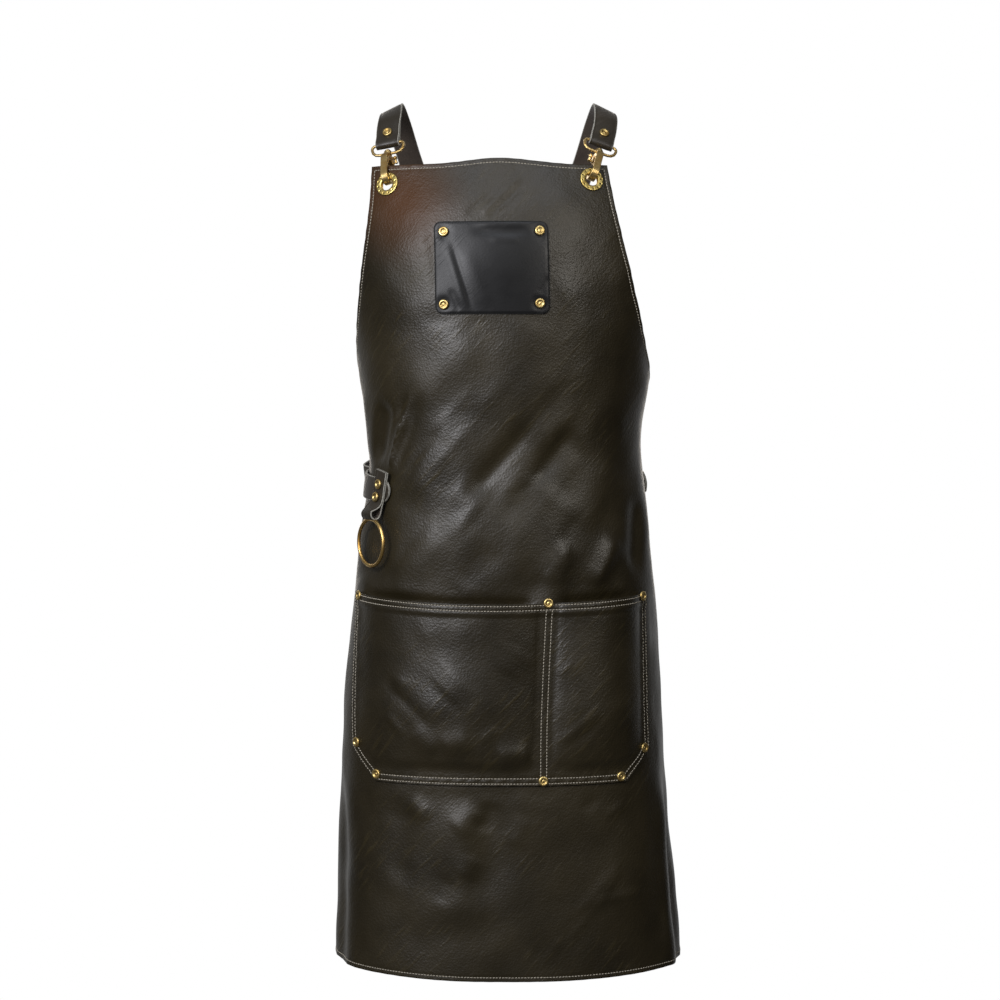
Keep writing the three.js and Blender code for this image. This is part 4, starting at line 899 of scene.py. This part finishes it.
def pocket_rows():
    chamfer_top = POCKET_HEIGHT - POCKET_CHAMFER[1]
    high = chamfer_top / POCKET_HEIGHT
    outline = [
        (POCKET_LEFT[0], 0), (pocket_edges(high)[0], chamfer_top),
        (POCKET_LEFT[1] + POCKET_CHAMFER[0], POCKET_HEIGHT),
        (POCKET_RIGHT[1] - POCKET_CHAMFER[0], POCKET_HEIGHT),
        (pocket_edges(high)[1], chamfer_top), (POCKET_RIGHT[0], 0),
    ]
    lines, mouth_lines = [], (1, 3)
    for inset in POCKET_ROWS:
        lines.append(dense(inset_line(outline, inset)))
        lines.append(dense([(POCKET_LEFT[0] + inset, inset), (POCKET_RIGHT[0] - inset, inset)]))
    for shift in (-DIVIDER_ROW, DIVIDER_ROW):
        lines.append(dense([(POCKET_DIVIDER[0] + shift, POCKET_ROWS[1]),
                            (POCKET_DIVIDER[1] + shift, POCKET_HEIGHT - POCKET_ROWS[0])]))
    rows = []
    for k, line in enumerate(lines):
        points, normals, down = pocket_surface(line[:, 0], np.clip(line[:, 1], 1, POCKET_HEIGHT))
        rows.append((points + normals * 0.1, normals))
        if k not in mouth_lines:
            points, normals = place(line[:, 0], down, -APRON_LEATHER + 0.05, leather_points, leather_normals)
            rows.append((points, -normals))
    return rows


# Straps and tab: bands swept along their runs

def smooth_run(stations, longest):
    padded = np.vstack([2 * stations[0] - stations[1], stations, 2 * stations[-1] - stations[-2]])
    runs = []
    for k in range(len(stations) - 1):
        p = padded[k:k + 4]
        steps = np.sqrt(np.linalg.norm(np.diff(p, axis=0), axis=1))
        middle = steps[1] if steps[1] > 1e-4 else 1.0
        before = steps[0] if steps[0] > 1e-4 else middle
        after = steps[2] if steps[2] > 1e-4 else middle
        leave = ((p[1] - p[0]) / before - (p[2] - p[0]) / (before + middle) + (p[2] - p[1]) / middle) * middle
        arrive = ((p[2] - p[1]) / middle - (p[3] - p[1]) / (middle + after) + (p[3] - p[2]) / after) * middle
        t = np.linspace(0, 1, longest[k], endpoint=False)[:, None]
        runs.append(p[1] + leave * t + (3 * (p[2] - p[1]) - 2 * leave - arrive) * t ** 2
                    + (2 * (p[1] - p[2]) + leave + arrive) * t ** 3)
    return np.vstack(runs + [stations[-1:]])


# Section of a band: a line is pressed along both edges of its face, and its edges are rounded
def band_section(width, thickness):
    edge = min(0.8, thickness * 0.4)
    half = thickness / 2
    reach = width / 2
    line = [(edge, half), (1.8, half - 0.06), (2.5, half - 0.3), (3.2, half)]
    top = [(-reach + a, b) for a, b in line]
    top += [(-width / 6, half + 0.1), (width / 6, half + 0.1)]
    top += [(reach - a, b) for a, b in line[::-1]]
    round_over, rounded = reach - edge * 0.25, half - edge * 0.35
    right = [(round_over, rounded), (reach, 0), (round_over, -rounded)]
    foot = [(reach - edge, -half), (width / 6, -half), (-width / 6, -half), (-reach + edge, -half)]
    left = [(-a, -b) for a, b in right]
    return np.array(top + right + foot + left)


def make_band(name, points, normals, widths, full, thickness):
    along = unit(np.gradient(points, axis=0))
    aside = unit(np.cross(along, normals))
    out = np.cross(aside, along)
    section = band_section(full, thickness)
    size = len(section)
    rings = []
    for k, point in enumerate(points):
        spread = np.outer(section[:, 0] * widths[k] / full, aside[k])
        rings.append(point + spread + np.outer(section[:, 1], out[k]))
    run = run_along(points)
    uv = [np.column_stack([section[:, 0] + BAND_GRAIN_SHIFT, np.full(size, length)]) for length in run]
    faces, kinds = [], []
    face_kind, back_kind, edge_kind = 0, 1, 2
    is_edge = [9 <= k <= 12 or k >= 16 for k in range(size)]  # the section's two rounded sides
    is_back = [13 <= k <= 15 for k in range(size)]
    for r in range(len(points) - 1):
        for k in range(size):
            m = (k + 1) % size
            faces.append([r * size + k, r * size + m, (r + 1) * size + m, (r + 1) * size + k])
            kinds.append(edge_kind if is_edge[k] else back_kind if is_back[k] else face_kind)
    last = (len(points) - 1) * size
    faces.append(list(range(size - 1, -1, -1)))
    faces.append([last + k for k in range(size)])
    kinds += [edge_kind, edge_kind]
    piece = new_piece(name, np.vstack(rings), faces, [STRAP_GRAIN, FLESH, CUT_EDGE], np.vstack(uv))
    piece.data.polygons.foreach_set("material_index", np.array(kinds, np.int32))
    work_on(piece)
    bpy.ops.object.mode_set(mode="EDIT")
    bpy.ops.mesh.select_all(action="SELECT")
    bpy.ops.mesh.normals_make_consistent(inside=False)
    bpy.ops.object.mode_set(mode="OBJECT")
    bpy.ops.object.shade_smooth_by_angle(angle=math.radians(50))
    piece.select_set(False)
    return piece, run[-1]


def turn_about(axis, degrees):
    return np.array(Matrix.Rotation(math.radians(degrees), 3, axis.tolist()))


def hook_frame(side):
    aside, back, _ = SNAP_LEANS[side]
    across, down = EYELETS[side]
    point, normal, upward = leather_frame(across, down, -APRON_LEATHER / 2)
    level = unit(np.cross(normal, upward))
    turn = turn_about(normal, -aside) @ turn_about(level, back)
    up = turn @ upward
    out = turn @ normal
    return point + up * 2.5, out, up


def strap_start(side):
    origin, hook_out, up = hook_frame(side)
    rise = SNAP_LEANS[side][2]
    bar = origin + hook_out * 0.4 + up * LOOP_BAR
    slope = np.array([1, -rise * BAR_SWEEP, rise])
    right = unit(slope - up * slope.dot(up))
    first = np.array(STRAP_ROUTE[0][:3]) * [-1 if side == "left" else 1, 1, 1]
    along = first - bar
    along = unit(along - right * along.dot(right))
    return bar, along, unit(np.cross(right, along)), right


def make_strap(side):
    mirror = -1 if side == "left" else 1
    bar, along, out, _ = strap_start(side)
    bend = LOOP_WIRE + GAP + STRAP_LEATHER / 2
    pinch = STRAP_LEATHER / 2 + GAP / 2
    fold = [
        (STRAP_FLAP, -pinch, -out), (STRAP_RIVET_HEIGHT + 6, -pinch, -out),
        (STRAP_RIVET_HEIGHT - 4, -pinch - 0.1, -out), (1, -bend, -out),
        (-bend * 0.75, -bend * 0.75, -along - out), (-bend, 0, -along),
        (-bend * 0.75, bend * 0.75, -along + out), (1, bend, out),
        (STRAP_RIVET_HEIGHT - 4, pinch + 0.1, out), (STRAP_RIVET_HEIGHT + 6, pinch, out),
    ]
    points = [bar + along * up + out * away for up, away, _ in fold]
    normals = [unit(normal) for _, _, normal in fold]
    for k, row in enumerate(STRAP_ROUTE):
        lift = STRAP_CROSS_LIFT if side == "left" and 5 <= k <= 8 else 0
        points.append(np.array([row[0] * mirror, row[1] + lift, row[2]]))
        normals.append(unit(np.array([row[3] * mirror, row[4], row[5]])))
    a0, d0, a1, d1, steps = HIP_ENDS["right" if side == "left" else "left"]
    for t in np.linspace(0, 1, steps + 1):
        point, normal = place(a0 + (a1 - a0) * t, d0 + (d1 - d0) * t, HIP_GAP + STRAP_LEATHER / 2)
        points.append(point)
        normals.append(normal)
    points = np.array(points)
    counts = [max(4, int(math.ceil(d / 4))) for d in np.linalg.norm(np.diff(points, axis=0), axis=1)]
    run = smooth_run(points, counts)
    face = unit(smooth_run(np.array(normals), counts))
    widths = np.full(len(run), float(STRAP_WIDTH))
    tip = unit(run[-1] - run[-2])
    end_point, end_face = run[-1], face[-1]
    for turn in np.radians([14, 28, 42, 55, 66, 75, 82, 87]):
        over = tip * STRAP_WIDTH / 2 * math.sin(turn)
        run = np.vstack([run, end_point + over - end_face * 0.12 * math.sin(turn)])
        face = np.vstack([face, end_face])
        widths = np.append(widths, STRAP_WIDTH * math.cos(turn))
    piece, length = make_band(f"strap_leather_{side}", run, face, widths, STRAP_WIDTH, STRAP_LEATHER)
    settle(piece, f"strap_{side}", "apron")


def ring_frame():
    point, normal = place(*RING_PLACE)
    out = unit(np.array([normal[0], normal[1], 0]))
    return point, out, np.cross(out, [0, 0, 1])


def make_tab():
    top, out, _ = ring_frame()
    bend = RING_WIRE + TAB_FOLD_SPACE + TAB_LEATHER / 2
    back = HIP_GAP + STRAP_LEATHER + SEAM_GAP + TAB_LEATHER / 2
    front = back + TAB_LEATHER + GAP
    foot = HIP_RIVETS["left"][1]
    points, normals = [], []

    def add_layer(t, offset, sign):
        across = TAB_TOP[0] + (foot[0] - TAB_TOP[0]) * smooth_step(t)
        point, normal = place(across, TAB_TOP[1] + (foot[1] + 5 - TAB_TOP[1]) * t, offset)
        points.append(point)
        normals.append(normal * sign)

    for t in (0, 0.5, 1):
        add_layer(t, front, 1)
    for turn in np.radians([-45, 0, 45, 90, 135, 180]):
        normal = out * math.cos(turn) + np.array([0, 0, -1]) * math.sin(turn)
        points.append(top + normal * bend)
        normals.append(normal)
    for t in (1, 0.5, 0):
        add_layer(t, back, -1)
    counts = [6] * (len(points) - 1)
    run = smooth_run(np.array(points), counts)
    face = unit(smooth_run(np.array(normals), counts))
    widths = np.full(len(run), float(TAB_WIDTH))
    piece, length = make_band("tab_leather", run, face, widths, TAB_WIDTH, TAB_LEATHER)
    settle(piece, "ring_tab", "apron")


# Turned brass: a ring drawn up along its profile of radius and height

def turned(name, profile, sides, material):
    bpy.ops.object.select_all(action="DESELECT")
    radius, height = profile[0]
    bpy.ops.mesh.primitive_circle_add(vertices=sides, radius=radius * MM, location=(0, 0, height * MM))
    piece = bpy.context.object
    piece.name = name
    bpy.ops.object.transform_apply(location=True, rotation=True, scale=True)
    bpy.ops.object.mode_set(mode="EDIT")
    bpy.ops.mesh.select_mode(type="VERT")
    bpy.ops.mesh.select_all(action="SELECT")
    for next_radius, next_height in profile[1:]:
        rise = (next_height - height) * MM
        bpy.ops.mesh.extrude_region_move(TRANSFORM_OT_translate={"value": (0, 0, rise)})
        scale = next_radius / radius
        bpy.ops.transform.resize(value=(scale, scale, 1), center_override=(0, 0, next_height * MM))
        radius, height = next_radius, next_height
    bpy.ops.mesh.select_all(action="SELECT")
    bpy.ops.mesh.remove_doubles(threshold=0.000005)
    bpy.ops.mesh.select_all(action="DESELECT")
    bpy.ops.mesh.select_non_manifold()
    bpy.ops.mesh.fill_holes(sides=0)
    bpy.ops.mesh.select_all(action="SELECT")
    bpy.ops.mesh.normals_make_consistent(inside=False)
    bpy.ops.object.mode_set(mode="OBJECT")
    bpy.ops.object.shade_smooth_by_angle(angle=math.radians(42))
    piece.data.materials.append(material)
    piece.select_set(False)
    return piece


# Rivets: a domed cap with a ringed centre, a post, and a washer behind the leather
def make_rivets():
    stack = 4.0
    back = -stack - BACK_GAP
    master = turned("rivet", [
        (0.4, back - 0.9), (3.9, back - 0.9), (4.3, back - 0.6), (4.3, back - 0.1), (4.0, back), (1.7, back),
        (1.7, GAP), (5.1, GAP), (5.3, GAP + 0.25), (5.25, GAP + 0.9), (4.95, GAP + 1.45), (4.4, GAP + 1.8),
        (3.7, GAP + 1.9), (3.1, GAP + 1.75), (2.6, GAP + 1.3), (2.2, GAP + 0.85), (1.7, GAP + 0.75),
        (1.3, GAP + 0.85), (1.0, GAP + 1.15), (0.5, GAP + 1.25),
    ], 32, RIVET_BRASS)

    def add_rivet(name, matrix, stack_here):
        piece = copy_of(master, name + "_brass", Matrix())
        for vertex in piece.data.vertices:
            if vertex.co.z < -0.5 * MM:
                vertex.co.z -= (stack_here - stack) * MM
        piece.data.transform(matrix)
        settle(piece, name, "apron")

    def on_leather(name, across, down, face):
        point, normal, upward = leather_frame(across, down, face)
        add_rivet(name, frame_at(point, normal, upward), face + APRON_LEATHER)

    for k, (across, down) in enumerate(PATCH_RIVETS):
        on_leather(f"patch_rivet_{k + 1}", across, down, SEAM_GAP + PATCH_LEATHER + PATCH_STAND_OFF * 0.12)
    for k, (across, down) in enumerate(POCKET_RIVETS):
        mouth_hem = HEM_LEATHER if k < 3 else 0
        on_leather(f"pocket_rivet_{k + 1}", across, down, SEAM_GAP + POCKET_LEATHER + mouth_hem)
    for k, (across, down) in enumerate(HIP_RIVETS["left"]):
        face = HIP_GAP + STRAP_LEATHER + SEAM_GAP + 2 * TAB_LEATHER + 2.4 * GAP
        on_leather(f"hip_rivet_left_{k + 1}", across, down, face)
    for k, (across, down) in enumerate(HIP_RIVETS["right"]):
        on_leather(f"hip_rivet_right_{k + 1}", across, down, HIP_GAP + GAP + STRAP_LEATHER)
    for side in ("left", "right"):
        bar, along, out, right = strap_start(side)
        point = bar + along * STRAP_RIVET_HEIGHT + out * (STRAP_LEATHER + GAP)
        add_rivet(f"strap_rivet_{side}", frame_at(point, out, right), 2 * STRAP_LEATHER + 2 * GAP)
    bpy.data.objects.remove(master)


# Eyelets: a flanged sleeve over a washer, with twelve small dimples pressed round the flange
def make_eyelets():
    back = -APRON_LEATHER - BACK_GAP
    sides = 72
    dimple_spacing, dimple_width = 30, 10
    master = turned("eyelet", [
        (6.8, back - 0.5), (7.2, back - 0.85), (8.0, back - 0.9), (8.8, back - 0.8), (9.2, back - 0.4),
        (9.2, back), (7.8, back), (7.8, GAP), (12.6, GAP), (12.8, GAP + 0.25), (12.7, GAP + 0.7),
        (12.2, GAP + 1.1), (11.5, GAP + 1.2), (9.9, GAP + 1.2), (8.4, GAP + 1.15), (7.5, GAP + 1.0),
        (7.0, GAP + 0.7), (6.8, GAP + 0.2), (6.8, back - 0.5),
    ], sides, EYELET_BRASS)
    work_on(master)
    bpy.context.tool_settings.mesh_select_mode = (False, False, True)
    master.data.vertices.foreach_set("select", [False] * len(master.data.vertices))
    master.data.edges.foreach_set("select", [False] * len(master.data.edges))
    for polygon in master.data.polygons:
        reach = math.hypot(polygon.center.x, polygon.center.y) / MM
        turn = math.degrees(math.atan2(polygon.center.y, polygon.center.x)) % dimple_spacing
        polygon.select = 9.9 < reach < 11.5 and polygon.center.z > 1.3 * MM and turn < dimple_width
    bpy.ops.object.mode_set(mode="EDIT")
    bpy.ops.mesh.inset(thickness=0.25 * MM)
    bpy.ops.transform.translate(value=(0, 0, -0.45 * MM))
    bpy.ops.object.mode_set(mode="OBJECT")
    master.data.materials.append(DARK_BRASS)
    for polygon in master.data.polygons:
        polygon.material_index = 1 if polygon.select else 0
    bpy.context.tool_settings.mesh_select_mode = (True, False, False)
    for side, (across, down) in EYELETS.items():
        point, normal, upward = leather_frame(across, down, 0)
        piece = copy_of(master, f"eyelet_{side}_brass", frame_at(point, normal, upward))
        settle(piece, f"eyelet_{side}", "apron")
    bpy.data.objects.remove(master)


# Cast brass: the fitting's own solid, remeshed finely and rubbed down so that its edges round over
def make_casting(node, body, voxel, rubs):
    piece = bpy.data.objects.new(node + "_brass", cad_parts[node].data.copy())
    scene.collection.objects.link(piece)
    work_on(piece)
    bpy.ops.object.mode_set(mode="EDIT")
    bpy.ops.mesh.select_all(action="SELECT")
    bpy.ops.mesh.remove_doubles(threshold=0.00001)
    bpy.ops.object.mode_set(mode="OBJECT")
    piece.data.remesh_voxel_size = voxel * MM
    bpy.ops.object.voxel_remesh()
    rub = piece.modifiers.new("rub", "SMOOTH")
    rub.factor = 0.5
    rub.iterations = rubs
    apply_modifiers(piece)
    piece.data.materials.clear()
    piece.data.materials.append(HOOK_BRASS)
    piece.data.shade_smooth()
    settle(piece, node, body)


# Ring: a drawn wire bent round, with a narrow butt joint at its top
def make_ring():
    top, out, right = ring_frame()
    bpy.ops.object.select_all(action="DESELECT")
    bpy.ops.mesh.primitive_torus_add(major_segments=120, minor_segments=20,
                                     major_radius=RING_RADIUS * MM, minor_radius=RING_WIRE * MM)
    piece = bpy.context.object
    piece.name = "towel_ring_brass"
    for vertex in piece.data.vertices:
        turn = math.degrees(math.atan2(vertex.co.y, vertex.co.x))
        vertex.select = abs(turn - 90) < 1
    bpy.ops.object.mode_set(mode="EDIT")
    bpy.ops.transform.resize(value=(0.9, 0.9, 0.9), center_override=(0, RING_RADIUS * MM, 0))
    bpy.ops.object.mode_set(mode="OBJECT")
    piece.data.transform(frame_at(top - np.array([0, 0, RING_RADIUS]), out, right))
    piece.data.materials.append(RING_BRASS)
    piece.data.shade_smooth()
    piece.select_set(False)
    settle(piece, "towel_ring", "towel_ring")


# Making

apron_hide = make_apron()
pocket_leather = make_pocket()
patch_leather = make_patch()
apron_thread = make_stitches("apron_thread", apron_rows())
pocket_thread = make_stitches("pocket_thread", pocket_rows())
for strap_side in ("left", "right"):
    make_strap(strap_side)
    make_casting(f"snap_hook_{strap_side}", "apron", 0.35, 8)
    make_casting(f"snap_loop_{strap_side}", "apron", 0.3, 4)
    make_casting(f"snap_gate_{strap_side}", f"snap_gate_{strap_side}", 0.25, 4)
make_tab()
make_ring()
make_eyelets()
make_rivets()

# Floor, light and world. The floor is pale to look at and dimmer in the leather's reflections.

bpy.ops.object.select_all(action="DESELECT")
bpy.ops.mesh.primitive_circle_add(vertices=96, radius=1.5, fill_type="NGON", location=(0, 0, -1.37))
floor = bpy.context.object
floor.name = "floor"
floor_material, floor_tree, floor_shader = new_material("matt_floor_paint")
floor_ray = add_node(floor_tree, "ShaderNodeLightPath")
floor_tone = add_node(floor_tree, "ShaderNodeMix", {"data_type": "RGBA"},
                      {0: floor_ray.outputs["Is Camera Ray"], 6: linear("#4a4a48"), 7: linear("#eeeeec")})
floor_tree.links.new(floor_tone.outputs[2], floor_shader.inputs["Base Color"])
floor_shader.inputs["Roughness"].default_value = 0.9
floor.data.materials.append(floor_material)


def add_light(name, place_at, look_at, width, height, watts, colour):
    data = bpy.data.lights.new(name, "AREA")
    data.shape = "RECTANGLE"
    data.size = width
    data.size_y = height
    data.energy = watts
    data.color = linear(colour)[:3]
    light = bpy.data.objects.new(name, data)
    aim = np.array(look_at) - np.array(place_at)
    light.matrix_world = frame_at(np.array(place_at) / MM, -aim, [1, 0, 0])
    light.visible_camera = False
    scene.collection.objects.link(light)


add_light("key", (-1.1, -1.75, 0.37), (0, 0, -0.2), 0.9, 0.88, 43, "#fafaff")
add_light("top", (0.15, -1.3, 1.4), (0, -0.1, -0.1), 1.5, 0.6, 11, "#eef4ff")
add_light("back", (0, 2.2, 0.1), (0, 0, -0.4), 2.0, 1.6, 26, "#fff3e4")
add_light("side", (1.15, -1.85, 0.45), (0, 0, -0.25), 0.7, 0.6, 12, "#fffaf2")

# A white backdrop, and soft light from above the key and from behind
world = bpy.data.worlds.new("studio")
scene.world = world
world.use_nodes = True
sky = world.node_tree
backdrop = sky.nodes["Background"]
backdrop.inputs["Color"].default_value = (1, 1, 1, 1)
ray = add_node(sky, "ShaderNodeLightPath")
toward = add_node(sky, "ShaderNodeTexCoord")
facing_key = add_node(sky, "ShaderNodeVectorMath", {"operation": "DOT_PRODUCT"},
                      {0: toward.outputs["Generated"], 1: (-0.30, -0.45, 0.84)})
front = add_node(sky, "ShaderNodeMapRange", {"interpolation_type": "SMOOTHSTEP"},
                 {"Value": facing_key.outputs["Value"], "From Min": 0.0, "From Max": 1.0,
                  "To Min": 0.02, "To Max": 0.24})
depth = add_node(sky, "ShaderNodeSeparateXYZ", None, {0: toward.outputs["Generated"]})
behind = add_node(sky, "ShaderNodeMapRange", {"interpolation_type": "SMOOTHSTEP"},
                  {"Value": depth.outputs["Y"], "From Min": 0.3, "From Max": 0.95,
                   "To Min": 0.0, "To Max": 0.6})
soft = add_node(sky, "ShaderNodeMath", {"operation": "ADD"},
                {0: front.outputs["Result"], 1: behind.outputs["Result"]})
strength = add_node(sky, "ShaderNodeMath", {"operation": "MAXIMUM"},
                    {0: ray.outputs["Is Camera Ray"], 1: soft.outputs["Value"]})
sky.links.new(strength.outputs["Value"], backdrop.inputs["Strength"])
scene.view_settings.view_transform = "Standard"
